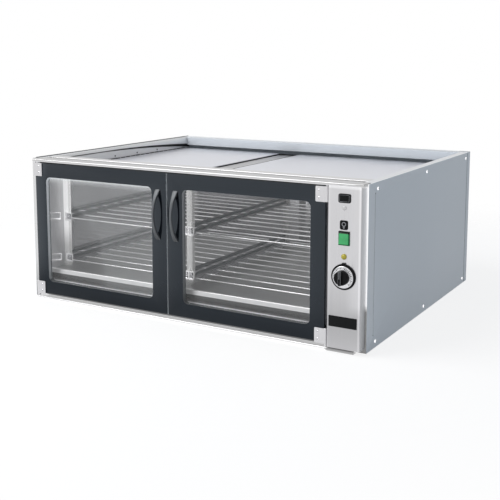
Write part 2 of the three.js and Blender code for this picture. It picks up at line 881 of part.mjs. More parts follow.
function makeThermostat() {
  const ringBack = fasciaFront - seat;
  const ringFront = ringBack - dialBezelThickness;
  const ring = bar('y', dialBezelRadius, [controlX, dialZ], ringFront, ringBack, roundSides);
  const tab = block(
    around(controlX, pointerWidth),
    [ringFront, ringBack],
    [dialZ, dialZ + dialBezelRadius + pointerHeight],
  );
  const bore = bar('y', dialBezelBore, [controlX, dialZ], ringFront - overrun, ringBack + overrun);
  add('thermostat_bezel', finish.black, cut(joined(ring, tab), bore));

  const behind = fasciaFront + sheet + seat;
  const bodyDepth = [behind, behind + thermostatDepth];
  const body = block(around(controlX, thermostatSize), bodyDepth, around(dialZ, thermostatSize));
  const bush = bar('y', bushRadius, [controlX, dialZ], ringFront, behind + sheet);
  const knobBack = ringFront - seat;
  const shaft = bar('y', shaftRadius, [controlX, dialZ], knobBack - shaftLength, behind);
  add('thermostat_body', finish.plastic, joined(body, bush, shaft));

  const skirtFront = knobBack - skirtThickness;
  const gripFront = skirtFront - gripLength;
  const skirt = bar('y', skirtRadius, [controlX, dialZ], skirtFront, knobBack, roundSides);
  const grip = bar('y', gripRadius, [controlX, dialZ], gripFront, skirtFront + seat, roundSides);
  const ridge = block(
    around(controlX, gripBarWidth),
    [gripFront - gripBarRise, gripFront + seat],
    around(dialZ, 2 * gripRadius - gripBarWidth / 2),
  );
  const socketEnd = knobBack - shaftLength - seat;
  const socket = bar('y', shaftBore, [controlX, dialZ], socketEnd, knobBack + overrun);
  add('thermostat_knob', finish.dial, cut(joined(skirt, grip, ridge), socket));
}

// Electrics in the control column

function makeTerminalBlock() {
  const low = sheet + seat;
  const high = low + terminalHeight;
  const whole = block(around(terminalX, terminalWidth), around(terminalY, terminalDepth), [low, high]);
  const slots = Array.from({ length: terminalSlots }, (_, i) => block(
    around(terminalX + (i - (terminalSlots - 1) / 2) * terminalPitch, terminalSlot),
    around(terminalY, terminalDepth + 2 * overrun),
    [low + terminalHeight / 2, high + overrun],
  ));
  add('terminal_block', finish.plastic, cut(whole, ...slots));
}

function makeCableGland() {
  const inside = depth - sheet - seat;
  const outside = depth + seat;
  const centre = [glandX, glandZ];
  const nutEnd = outside + glandNutLength;
  const capEnd = nutEnd + glandCapLength;
  const stem = bar('y', glandStem, centre, inside - glandInner, nutEnd);
  const lockNut = bar('y', glandNut, centre, inside - glandInner / 2, inside, wireSides);
  const nut = bar('y', glandNut, centre, outside, nutEnd, wireSides);
  const cap = bar('y', glandCap, centre, outside + glandNutLength / 2, capEnd);
  const bore = bar('y', glandBore, centre, inside - glandInner - overrun, capEnd + overrun);
  add('cable_gland', finish.black, cut(joined(stem, lockNut, nut, cap), bore));
}

// Doors

const doors = {
  left: {
    outer: doorInset,
    inner: doorMiddle - doorSeam / 2,
    pivotX: pivotXs[0],
    handleX: doorMiddle - handleSeamOffset,
    way: 1,
  },
  right: {
    outer: 2 * doorMiddle - doorInset,
    inner: doorMiddle + doorSeam / 2,
    pivotX: pivotXs[1],
    handleX: doorMiddle + handleSeamOffset,
    way: -1,
  },
};

// Heights of the hinge plates, of the lower barrel, which reaches down to the ledge, and of the pins.
const upperHinge = [doorTop - hingeHeight, doorTop];
const lowerHinge = [ledgeHeight + lowerHingeLift, ledgeHeight + lowerHingeLift + hingeHeight];
const lowerBarrel = [ledgeHeight + seat, lowerHinge[1]];
const upperPin = [doorTop - pinReach, trimBottom + pinReach];
const lowerPin = [lowerBarrel[0] - sheet - pinReach, lowerBarrel[0] + pinReach];

// The border's outline steps back at the two hinge barrels.
function doorBorder({ outer, inner, pivotX, way }) {
  const notch = pivotX + way * (barrelRadius + seat);
  const lowStep = lowerHinge[1] + seat;
  const highStep = upperHinge[0] - seat;
  const outline = new THREE.Shape([
    [inner, doorBottom],
    [inner, doorTop],
    [notch, doorTop],
    [notch, highStep],
    [outer, highStep],
    [outer, lowStep],
    [notch, lowStep],
    [notch, doorBottom],
  ].map(point));
  const sides = [outer + way * outerStile, inner - way * innerStile].sort((a, b) => a - b);
  outline.holes.push(roundedRectangle(sides, [windowBottom, windowTop], windowRadius));
  return alongY(outline, doorFront, doorFront + doorThickness);
}

function doorPane({ outer, inner, way }) {
  const sides = [outer + way * outerStile, inner - way * innerStile].sort((a, b) => a - b);
  const outline = roundedRectangle(
    [sides[0] + seat, sides[1] - seat],
    [windowBottom + seat, windowTop - seat],
    windowRadius - seat,
  );
  const front = doorFront + paneInset;
  return alongY(outline, front, front + paneThickness);
}

// The handle seen from the front: wide at its two ends, with a narrow waist between them.
function waisted(middle, low, high) {
  const side = (way) => Array.from({ length: handleSegments + 1 }, (_, i) => {
    const share = 2 * i / handleSegments - 1;
    const width = handleWaist + (handleWidth - handleWaist) * share ** 2;
    return new THREE.Vector2(middle + way * width / 2, low + (high - low) * i / handleSegments);
  });
  return new THREE.Shape([...side(1), ...side(-1).reverse()]);
}

// A bow handle: a crescent in (y, z) whose two feet stand on the border.
function bowHandle({ handleX }) {
  const foot = doorFront - seat;
  const handleHigh = rimTop - handleDrop;
  const handleLow = handleHigh - handleLength;
  const bow = (low, high, reach) => {
    const half = (high - low) / 2;
    const radius = (half * half + reach * reach) / (2 * reach);
    const centreY = foot - reach + radius;
    const spread = Math.asin(half / radius);
    return Array.from({ length: handleSegments + 1 }, (_, i) => {
      const angle = spread * (2 * i / handleSegments - 1);
      const z = (low + high) / 2 + radius * Math.sin(angle);
      return new THREE.Vector2(centreY - radius * Math.cos(angle), z);
    });
  };
  const outer = bow(handleLow, handleHigh, handleReach);
  const inner = bow(handleLow + handleFoot, handleHigh - handleFoot, handleReach - handleThickness);
  const crescent = alongX(new THREE.Shape([...outer, ...inner.reverse()]), ...around(handleX, handleWidth));
  const front = alongY(waisted(handleX, handleLow, handleHigh), foot - handleReach, foot + overrun);
  return geometryOf(solidOf(crescent).intersect(solidOf(front)));
}

// A hinge: a plate on the front of the border, a barrel outside its edge and a pin that stands out of it.
function hinge({ pivotX, way }, plateZ, barrelZ, pinZ) {
  const plateFront = pivotY - barrelRadius;
  const plate = block([pivotX, pivotX + way * hingeReach], [plateFront, plateFront + hingePlate], plateZ);
  const barrel = bar('z', barrelRadius, [pivotX, pivotY], ...barrelZ, pinSides);
  const pin = bar('z', pinRadius, [pivotX, pivotY], ...pinZ, pinSides);
  return joined(plate, barrel, pin);
}

function makeDoors() {
  for (const [side, door] of Object.entries(doors)) {
    add(`${side}_door_border`, finish.border, doorBorder(door));
    add(`${side}_door_pane`, finish.glass, doorPane(door));
    add(`${side}_door_handle`, finish.handle, bowHandle(door));
    add(`${side}_upper_hinge`, finish.stainless, hinge(door, upperHinge, upperHinge, upperPin));
    add(`${side}_lower_hinge`, finish.stainless, hinge(door, lowerHinge, lowerBarrel, lowerPin));
  }
}

makeBasePan();
makeSidePanels();
makeRearPanel();
makeFrontLowerRail();
makeFrontHeader();
makeFrontTopTrim();
makeRearRim();
makeTopPlates();
makeChamber();
makeDeckPlate();
makePosts();
makeSlides();
makeRacks();
makeWaterPan();
makeHeatingElement();
makeCabinLamp();
makeSensorBulb();
makeFascia();
makeDisplay();
makePilotLens();
makeRocker();
makeIndicatorLamp();
makeThermostat();
makeTerminalBlock();
makeCableGland();
makeDoors();

cabinet.position.set(-width / 2, -depth / 2, 0);
const part = new THREE.Group();
part.add(cabinet);

export default part;
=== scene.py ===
"""Looks of the proofing cabinet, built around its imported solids.

Lengths in the recipes are millimetres from the cabinet's left front corner on the floor, as in the
part's own source. spot() turns them into the frame's metres.
"""

import math

import bmesh
import bpy
from mathutils import Matrix, Vector


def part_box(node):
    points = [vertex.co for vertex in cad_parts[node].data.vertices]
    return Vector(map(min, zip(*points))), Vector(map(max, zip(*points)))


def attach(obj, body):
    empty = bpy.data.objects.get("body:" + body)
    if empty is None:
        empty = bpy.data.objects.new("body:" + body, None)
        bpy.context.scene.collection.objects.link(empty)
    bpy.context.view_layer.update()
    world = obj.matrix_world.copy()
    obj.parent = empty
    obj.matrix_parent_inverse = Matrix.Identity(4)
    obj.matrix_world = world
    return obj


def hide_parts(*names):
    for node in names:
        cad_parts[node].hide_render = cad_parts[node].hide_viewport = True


bl_info = {
    "name": "Proofing cabinet looks",
    "version": (1, 0, 0),
    "blender": (4, 5, 0),
    "location": "3D View > Sidebar > Proofer",
    "description": "Detailed pieces, finishes and a studio for the proofing cabinet",
    "category": "Object",
}

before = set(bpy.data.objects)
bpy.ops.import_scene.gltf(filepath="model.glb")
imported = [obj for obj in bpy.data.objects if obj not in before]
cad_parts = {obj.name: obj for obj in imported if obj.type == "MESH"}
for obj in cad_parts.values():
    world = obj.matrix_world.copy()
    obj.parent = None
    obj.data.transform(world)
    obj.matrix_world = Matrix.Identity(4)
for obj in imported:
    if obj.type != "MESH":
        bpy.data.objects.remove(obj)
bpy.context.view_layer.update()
CORNER = Vector((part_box("left_side_panel")[0].x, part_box("left_side_panel")[0].y, 0))
MM = 0.001
ROOT = "cabinet"

# For the axis that a profile is drawn out along: the two axes of its outline, then that axis
PLANES = {"X": (1, 2, 0), "Y": (0, 2, 1), "Z": (0, 1, 2)}
DIRECTIONS = {"X": Vector((1, 0, 0)), "Y": Vector((0, 1, 0)), "Z": Vector((0, 0, 1))}

BLACK, WHITE = (0, 0, 0, 1), (1, 1, 1, 1)

# Sheet thicknesses, the gap between seated pieces, and how near vertices are merged, in metres
SHEET, LINER, SEAT = 1.5, 1.2, 0.3
MERGE = 1e-6

WIDTH, REAR = 1030, 792
BETWEEN_SIDES = (22.3, 1007.7)
SCREW_HEIGHTS = (16, 384)
PLATE_LOW, PLATE_TOP, PLATE_SPAN = 359.8, 364, (70, 745)
LEFT_PLATE_EDGE, RIGHT_PLATE_EDGE = 399, 474

POSTS = {"left": 45, "centre": 480, "right": 915}
BAYS = (("left", POSTS["left"], POSTS["centre"]), ("right", POSTS["centre"], POSTS["right"]))
# The racks' levels, and how much further up each level's slides reach
LEVELS = (("lower", 85.5, 4), ("upper", 211.535, 0))
SHELVES = [
    (f"{bay}_bay_{place}", left, right, level, rise)
    for bay, left, right in BAYS for place, level, rise in LEVELS
]
SLIDE_SPAN = (96.3, 635.7)
BAR_RADIUS, BAR_SPAN = 3, (90, 650)
WIRE_RADIUS, WIRE_COUNT, FIRST_WIRE, WIRE_PITCH = 1.9, 11, 97, 54.6
POST_BOTTOM, POST_TOP, POST_HALF = 76.3, 354.5, 9
# How far off a post's web its flanges change: their open edge, both ends of the slots, the web
POST_DEPTHS = (12, 8.2, 4.6, 0)

FASCIA_FRONT = -28
ON_FASCIA = FASCIA_FRONT - SEAT
CONTROL_X, DIAL_HEIGHT, LABEL_X, COVER_X = 982.5, 184.5, 981.6, 981.4

DOORS = {
    "left": {"outer": 29.5, "inner": 478.5, "pivot": 26.7, "handle": 452, "way": 1},
    "right": {"outer": 930.5, "inner": 481.5, "pivot": 933.3, "handle": 508, "way": -1},
}
DOOR_FRONT, DOOR_BACK, DOOR_BOTTOM, DOOR_TOP = -20, -6, 17.8, 391
WINDOW_BOTTOM, WINDOW_TOP, WINDOW_RADIUS = 54, 352, 14
HANDLE_BOTTOM, HANDLE_TOP, HANDLE_FOOT, HANDLE_WAIST = 214, 348, 15, 5.5
# Where the border's outer corners are cut for the hinge plates, and how far off the pivot
NOTCH_LOW, NOTCH_HIGH, NOTCH_OFF = 52.1, 353.7, 4.8
# The hinges' plates, barrels and pins, by their spans in height
HINGES = (
    ("upper", (354, 391), (354, 391), (386, 399)),
    ("lower", (14.8, 51.8), (8.3, 51.8), (1.8, 13.3)),
)
HINGE_FRONT, HINGE_BACK, HINGE_REACH, PIVOT_Y = -22.2, -20.3, 27.8, -17.7
GASKET_SPAN = (22, 382)

# The camera's place in millimetres, its angles in degrees, its lens and its shift
CAMERA_PLACE, CAMERA_DOWN, CAMERA_TURN = (1800.8, -1867.9, 695.1), 7.773, 30.13
CAMERA_LENS, CAMERA_SHIFT = 64.1, -0.15
# The lamp's place, width and power, and what it points at, in metres and watts
LAMP_PLACE, LAMP_WIDTH, LAMP_POWER, LAMP_AIM = Vector((-1.7, -1.7, 2.9)), 2.6, 76, Vector((0, 0, 0.2))
# Where the floor begins to fade and where it ends, in metres from the middle
FLOOR_FADE, FLOOR_DROP = (0.9, 1.9), -0.0005


def spot(x, y, z):
    return Vector((x, y, z)) * MM + CORNER


# Shader recipes


class Value:
    """A socket's value, with the arithmetic that the recipes use."""

    def __init__(self, recipe, socket):
        self.recipe = recipe
        self.socket = socket

    def __add__(self, other):
        return self.recipe.math("ADD", self, other)

    def __sub__(self, other):
        return self.recipe.math("SUBTRACT", self, other)

    def __mul__(self, other):
        return self.recipe.math("MULTIPLY", self, other)

    def __rsub__(self, other):
        return self.recipe.math("SUBTRACT", other, self)

    __radd__ = __add__
    __rmul__ = __mul__


class Recipe:
    """Builds one material, or the world, from nodes."""

    def __init__(self, name, kind="materials", place="Object"):
        self.made = getattr(bpy.data, kind).new(name)
        self.made.use_nodes = True
        self.tree = self.made.node_tree
        self.tree.nodes.clear()
        self.place = self.node("ShaderNodeTexCoord", out=place)

    def node(self, kind, settings=None, inputs=None, out=0):
        """Adds a node, sets its settings, then its sockets, and gives one of its outputs."""
        made = self.tree.nodes.new(kind)
        for name, value in (settings or {}).items():
            setattr(made, name, value)
        for name, value in (inputs or {}).items():
            socket = made.inputs[name]
            if isinstance(value, Value):
                self.tree.links.new(value.socket, socket)
            else:
                socket.default_value = value
        return Value(self, made.outputs[out])

    def rays(self, *kinds):
        """Whether a ray is of each of these kinds."""
        path = self.tree.nodes.new("ShaderNodeLightPath")
        return [Value(self, path.outputs[f"Is {kind} Ray"]) for kind in kinds]

    def math(self, operation, first, second=0, clamp=False):
        settings = {"operation": operation, "use_clamp": clamp}
        return self.node("ShaderNodeMath", settings, {0: first, 1: second})

    def mix(self, amount, first, second):
        return self.node("ShaderNodeMix", {"data_type": "RGBA"}, {0: amount, 6: first, 7: second}, out=2)

    def dimmed(self, colour, tone):
        """A colour, darkened from place to place where there is a tone: painted light and shade."""
        return self.mix(tone(self), BLACK, colour) if tone else colour

    def varied(self, pattern, color, swing, tone=None):
        """A colour that a pattern makes lighter and darker by a share of itself."""
        return self.dimmed(self.mix(pattern, rgba(color, 1 - swing), rgba(color, 1 + swing)), tone)

    def noise(self, scale, stretch=(1, 1, 1), detail=3, roughness=0.5):
        place = self.node("ShaderNodeMapping", None, {"Vector": self.place, "Scale": stretch})
        inputs = {"Vector": place, "Scale": scale, "Detail": detail, "Roughness": roughness}
        return self.node("ShaderNodeTexNoise", None, inputs, out="Fac")

    def coordinate(self, axis):
        return self.node("ShaderNodeSeparateXYZ", None, {"Vector": self.place}, out=axis)

    def ranged(self, value, start, end, low=0.0, high=1.0, fade="LINEAR"):
        """Goes from low to high while the value goes from start to end."""
        inputs = {"Value": value, "From Min": start, "From Max": end, "To Min": low, "To Max": high}
        return self.node("ShaderNodeMapRange", {"interpolation_type": fade}, inputs)

    def along(self, axis, low, high):
        """0 at one place on an axis, 1 at the other, both in millimetres from the cabinet's corner."""
        corner = CORNER["XYZ".index(axis)]
        return self.ranged(self.coordinate(axis), low * MM + corner, high * MM + corner)

    def tones(self, axis, stops):
        """A tone that runs through (place, tone) stops along an axis."""
        total = stops[0][1]
        for (low, first), (high, second) in zip(stops, stops[1:]):
            total = self.along(axis, low, high) * (second - first) + total
        return total

    def bump(self, height, distance, strength):
        inputs = {"Height": height, "Distance": distance, "Strength": strength}
        return self.node("ShaderNodeBump", None, inputs)

    def principled(self, inputs):
        return self.node("ShaderNodeBsdfPrincipled", None, inputs)

    def blend(self, amount, first, second):
        return self.node("ShaderNodeMixShader", None, {0: amount, 1: first, 2: second})

    def finish(self, shader, output="Material"):
        """Connects the finished shader; its inputs alone make a principled one."""
        if isinstance(shader, dict):
            shader = self.principled(shader)
        last = self.tree.nodes.new("ShaderNodeOutput" + output)
        self.tree.links.new(shader.socket, last.inputs["Surface"])
        return self.made


def rgba(color, factor=1.0):
    return (*(min(1.0, part * factor) for part in color[:3]), 1.0)


def brushed(name, color, grain, roughness, lines=420, tone=None, glow=0.0, lit=None):
    """Rolled sheet with a grain along one axis; tone paints shade on it from place to place, glow is
    painted light and lit places it.
    """
    recipe = Recipe(name)
    stretch = tuple(0.012 if axis == grain else 1.0 for axis in "XYZ")
    streak = recipe.noise(lines, stretch, detail=4, roughness=0.6)
    cloud = recipe.noise(5, detail=2)
    colour = recipe.varied(streak * 0.7 + cloud * 0.3, color, 0.08, tone)
    return recipe.finish({
        "Base Color": colour,
        "Metallic": 1.0,
        "Roughness": streak * 0.14 + cloud * 0.06 + (roughness - 0.1),
        "Emission Color": recipe.dimmed(colour, lit),
        "Emission Strength": glow,
        "Normal": recipe.bump(streak, 0.00001, 0.35),
    })


def polished(name, color, roughness, swing=0.05, tone=None, glow=0.0, frost=None):
    """Bright annealed sheet: nearly a mirror, a little wavy; tone paints shade on it, glow is painted
    light, frost dulls it from place to place.
    """
    recipe = Recipe(name)
    wave = recipe.noise(9, detail=1)
    speck = recipe.noise(240, detail=3)
    colour = recipe.varied(wave, color, swing, tone)
    return recipe.finish({
        "Base Color": colour,
        "Metallic": 1.0,
        "Roughness": speck * 0.05 + wave * 0.03 + (roughness - 0.04) + (frost(recipe) if frost else 0.0),
        "Emission Color": colour,
        "Emission Strength": glow,
        "Normal": recipe.bump(wave, 0.0008, 0.35),
    })


def coated(
    name, color, roughness, metallic=0.0, swing=0.05, grain=900, depth=0.00002, gloss=1.45, tone=None,
):
    """Paint or moulded plastic: a fine skin and a slow change of tone; a given tone paints shade on it from
    place to place.
    """
    recipe = Recipe(name)
    skin = recipe.noise(grain, detail=2)
    cloud = recipe.noise(7, detail=3)
    return recipe.finish({
        "Base Color": recipe.varied(cloud, color, swing, tone),
        "Metallic": metallic,
        "Roughness": skin * 0.08 + cloud * 0.06 + (roughness - 0.07),
        "IOR": gloss,
        "Normal": recipe.bump(skin, depth, 0.5),
    })


def glossy_black(name, color, gloss, tone=None, tint=WHITE):
    """Back-printed glass: dark, with faint wipe marks in its gloss; tone paints how much of it mirrors, a
    painted reflection.
    """
    recipe = Recipe(name)
    wipe = recipe.noise(14, (1, 1, 0.2), detail=4)
    dust = recipe.noise(700, detail=2)
    look = {
        "Base Color": recipe.varied(wipe, color, 0.06),
        "Roughness": wipe * 0.03 + dust * 0.02 + 0.02,
        "IOR": gloss,
        "Specular Tint": rgba(tint),
    }
    if not tone:
        return recipe.finish(look)
    dull, mirror = recipe.principled({**look, "IOR": 1.0}), recipe.principled(look)
    return recipe.finish(recipe.blend(tone(recipe), dull, mirror))


def clear(name, color, alpha, rim, roughness=0.02, gleam=0.0):
    """Thin clear glass: it mirrors more at a glancing angle; the gleam is a painted reflection under its
    upper edge.
    """
    recipe = Recipe(name)
    smear = recipe.noise(11, (1, 1, 0.3), detail=4)
    facing = recipe.node("ShaderNodeLayerWeight", None, {"Blend": 0.35}, out="Fresnel")
    painted_gleam = recipe.tones("Z", [(334, 0), (346, gleam * 0.3), (350, gleam)])
    return recipe.finish({
        "Base Color": recipe.mix(smear, rgba(color, 0.97), rgba(color)),
        "Metallic": 0.9,
        "Roughness": smear * 0.03 + roughness,
        "Alpha": recipe.math("ADD", facing * rim + painted_gleam, smear * 0.01 + alpha, clamp=True),
    })


def glowing(name, color, roughness, glow, tone=None):
    """Tinted translucent plastic that is faintly lit from inside."""
    recipe = Recipe(name)
    cell = recipe.noise(160, detail=2)
    colour = recipe.varied(cell, color, 0.1, tone)
    return recipe.finish({
        "Base Color": colour,
        "Roughness": cell * 0.06 + (roughness - 0.03),
        "Emission Color": colour,
        "Emission Strength": glow,
        "Coat Weight": 0.4,
        "Coat Roughness": 0.1,
    })


def heat_tinted(name, color):
    """Sheathed element: dull metal that heat has coloured in patches."""
    recipe = Recipe(name)
    patch = recipe.noise(18, detail=3)
    grain = recipe.noise(500, detail=3)
    straw = (color[0] * 1.3, color[1] * 1.05, color[2] * 0.85, 1)
    return recipe.finish({
        "Base Color": recipe.mix(patch, rgba(color, 0.7), straw),
        "Metallic": 0.85,
        "Roughness": grain * 0.2 + 0.35,
        "Normal": recipe.bump(grain, 0.00003, 0.5),
    })


# Shades painted into a finish from place to place: painted light, shade and reflection, as its surroundings
# are mirrored in it


def runs(axis, *stops):
    """A painted shade that runs through (place, tone) stops along one axis."""
    return lambda recipe: recipe.tones(axis, stops)


# Painted shade: the fascia's side is darker to its foot
FASCIA_SIDE_SHADE = runs("Z", (11, 0.64), (60, 0.68), (120, 0.72), (200, 0.8), (380, 0.9))
# Painted shade on the trim's top and its front, and the bend between them
TRIM_SHADE = runs("Y", (-24, 0.46), (-22.5, 0.44), (-21, 0.46), (18, 0.44))
# Painted light from the floor, as a glow on the lower half of the trim's front
TRIM_LIGHT = runs("Z", (394, 1.0), (397.5, 0.5), (400, 0.0))
# Painted light and shade: the chamber's walls are lighter next to the doors, and the back wall is dark
WALL_SHADE = runs("Y", (20, 1.0), (50, 0.82), (75, 0.54), (110, 0.74), (600, 0.72), (690, 0.42))
# They are dull next to the doors and clean behind the posts
WALL_FROST = runs("Y", (100, 0.4), (140, 0.0))
# Painted shade: the rear rim's face is a little darker to its foot
RIM_SHADE = runs("Z", (376, 0.86), (396, 1.0))
# Painted shade and light: the step behind the trim is dark, the rim behind it bright
HEADER_SHADE = runs("Y", (0, 0.5), (19, 0.42), (22, 0.27), (49, 0.27), (53, 0.58), (78, 0.58), (85, 0.5))
# Painted light: bright, a little darker at its foot
LEFT_STILE_SHADE = runs("Z", (0, 0.3), (60, 0.55), (110, 0.72), (400, 0.75))
# Painted reflection: bright above, dark where it mirrors the shadow at its foot
STILE_SHADE = runs("Z", (0, 0.2), (100, 0.24), (116, 0.9), (400, 0.95))
# The outer fold of each side flange, painted: a dark shadow line on the left, a bright highlight on the
# right
FLANGE_SHADE = runs(
    "X", (4.5, 0.12), (6, 0.62), (18, 0.66), (20.5, 0.5), (22, 0.45), (60, 0.7), (1026, 0.72),
    (1028.5, 1.0),
)
# Painted light: brightest at the top, where the post catches the light of the window
LEFT_POST_SHADE = runs("Z", (76, 0.36), (140, 0.52), (165, 0.72), (190, 0.94), (222, 1.0))
# Painted shade: the handle is darker to both feet
HANDLE_SHADE = runs("Z", (214, 0.68), (262, 0.98), (310, 0.95), (345, 0.72))
# The rocker's frame is green from its cap, and painted shadow makes it black along its top
FRAME_SHADE = runs("Z", (258, 1.0), (284, 0.8), (286.5, 0.06))
# Painted shadow: the pressed upper end of the rocker lies in its frame's shadow
CAP_SHADE = runs("Z", (262, 1.0), (272, 0.86), (286.2, 1.0), (286.9, 0.02))


def fascia_shade(recipe):
    """Painted light and shade: light at the top, darker under the dial, with painted highlights along its
    folded edges.
    """
    upright = recipe.tones("Z", [
        (11, 0.57), (40, 0.52), (78, 0.47), (100, 0.53), (130, 0.58), (160, 0.62), (200, 0.68),
        (388, 0.7), (391, 0.85), (396, 0.94),
    ])
    middle = recipe.tones("Z", [(95, 0), (118, 0.12), (170, 0.09), (215, 0.02)])
    lift = recipe.along("X", 985, 1012) * middle
    folds = recipe.tones("X", [
        (940, 0), (941, 0.14), (944, 0.03), (950, 0), (1018, 0), (1021, 0.2), (1022.5, 0.15), (1024, 0),
    ])
    return upright + lift + folds


def rail_shade(recipe):
    """The ledge under the doors, in painted shade: dark where it goes under them, painted bright at the
    foot of its front.
    """
    upright = recipe.tones("Z", [(1, 1.0), (3, 0.95), (6.4, 0.8), (7.8, 0.62)])
    column = recipe.tones("X", [(932, 1.0), (940, 0.4)])
    return upright * column * recipe.tones("Y", [(-1.8, 1.0), (0.2, 0.2)])


def rail_light(recipe):
    """Painted light, given as a glow: what reaches the ledge's top under the doors, and the foot of its
    front.
    """
    foot = recipe.tones("Z", [(0.5, 0.4), (5, 0.0)])
    return foot + recipe.tones("Y", [(-22.6, 0.0), (-21.4, 0.85), (-1.8, 1.0), (0.2, 0.1)])


def border_shade(recipe):
    """Painted reflection: the border mirrors less to its foot, more at the outer left, and a little more to
    the right.
    """
    upright = recipe.tones("Z", [(18, 0.28), (50, 0.33), (100, 0.5), (200, 0.61)])
    left = recipe.along("X", 75, 55) * recipe.tones("Z", [(60, 0.0), (150, 0.3)])
    return upright + left + recipe.along("X", 300, 420) * 0.07


def liner_shade(recipe):
    """The window's cut edge, in painted light and shade: light on the left window, darker to the foot."""
    upright = recipe.tones("Z", [(54, 0.3), (90, 0.4), (150, 0.66), (352, 0.9)])
    return upright * recipe.tones("X", [(420, 1.0), (520, 0.38)])


def deck_shade(recipe):
    """The deck's front lip in painted light and shade: a bright upper band over a dark lower one; the top
    is half dark.
    """
    band = recipe.tones("Z", [(53, 0.42), (58, 0.17), (62, 0.14), (70, 0.15), (72.4, 0.2), (73.2, 1.0)])
    shadow = recipe.tones("X", [(470, 1.0), (480, 0.6), (530, 0.65), (562, 1.0)])
    return band * shadow * recipe.tones("Y", [(8, 0.45), (12.5, 0.45), (15, 0.2), (60, 0.17)])


def leg_shade(recipe):
    """The inner wall of the left flange, with the painted, bowed dark reflection that widens to the rear.
    """
    rear = recipe.along("Y", 290, 790)
    bow = 391.2 - rear * rear * 22.5
    rise = recipe.coordinate("Z") * (1 / MM) - bow
    half_width = rear * 3.6 + 1.0
    dark = recipe.ranged(recipe.math("ABSOLUTE", rise) - half_width, -0.6, 1.4)
    return dark * recipe.ranged(rise, 0, 1, 0.86, 1.0) * 0.92 + 0.03


def post_shade(recipe):
    """Painted shade: dark at its foot, and darker at the rear."""
    upright = recipe.tones("Z", [(76, 0.3), (110, 0.46), (200, 0.5), (352, 0.52)])
    return upright * recipe.tones("Y", [(110, 1.0), (600, 0.5)])


FINISHES = {}


# Mesh recipes


def outline(plane, path, at):
    """The places of an outline that stands across an axis, at one value of it."""
    first, second, along = PLANES[plane]
    places = []
    for across, up in path:
        place = [0, 0, 0]
        place[first] = across
        place[second] = up
        place[along] = at
        places.append(spot(*place))
    return places


def strung(bm, places, closed=False):
    """Vertices at places, and the edges from each to the next."""
    verts = [bm.verts.new(place) for place in places]
    after = verts[1:] + (verts[:1] if closed else [])
    return verts, [bm.edges.new(pair) for pair in zip(verts, after)]


def of_kind(out, kind):
    return [part for part in out["geom"] if isinstance(part, kind)]


def draw_out(bm, out, axis, length):
    """Moves what an extrusion has made along an axis."""
    bmesh.ops.translate(bm, verts=of_kind(out, bmesh.types.BMVert), vec=DIRECTIONS[axis] * length * MM)


def bevel(bm, edges, offset, segments):
    if edges:
        bmesh.ops.bevel(
            bm, geom=edges, offset=offset * MM, offset_type="OFFSET", segments=segments,
            profile=0.5, affect="EDGES", clamp_overlap=True, material=-1,
        )


def sharp(bm, least=50):
    """The edges where two faces meet at more than an angle in degrees."""
    limit = math.radians(least)
    return [e for e in bm.edges if len(e.link_faces) == 2 and e.calc_face_angle() > limit]


def signed(axis):
    """The letter of an axis such as "-Y", and its sign."""
    return axis[-1], -1 if axis.startswith("-") else 1


def along_axis(edge, axis):
    way = (edge.verts[0].co - edge.verts[1].co).normalized()
    return abs(way.dot(DIRECTIONS[axis])) > 0.99


def thicken(bm, plane, path, wall):
    """Gives a strip its wall, on the left of its path."""
    first, second, _ = PLANES[plane]
    across, up = (b - a for a, b in zip(path[0], path[1]))
    left = Vector((0, 0, 0))
    left[first], left[second] = -up, across
    bm.faces.ensure_lookup_table()
    start = spot(0, 0, 0)
    start[first] += path[0][0] * MM
    start[second] += path[0][1] * MM
    nearest = min(bm.faces, key=lambda face: min((vert.co - start).length for vert in face.verts))
    bmesh.ops.recalc_face_normals(bm, faces=bm.faces)
    nearest.normal_update()
    if nearest.normal.dot(left) > 0:
        bmesh.ops.reverse_faces(bm, faces=bm.faces)
    bmesh.ops.solidify(bm, geom=bm.faces[:], thickness=wall * MM)


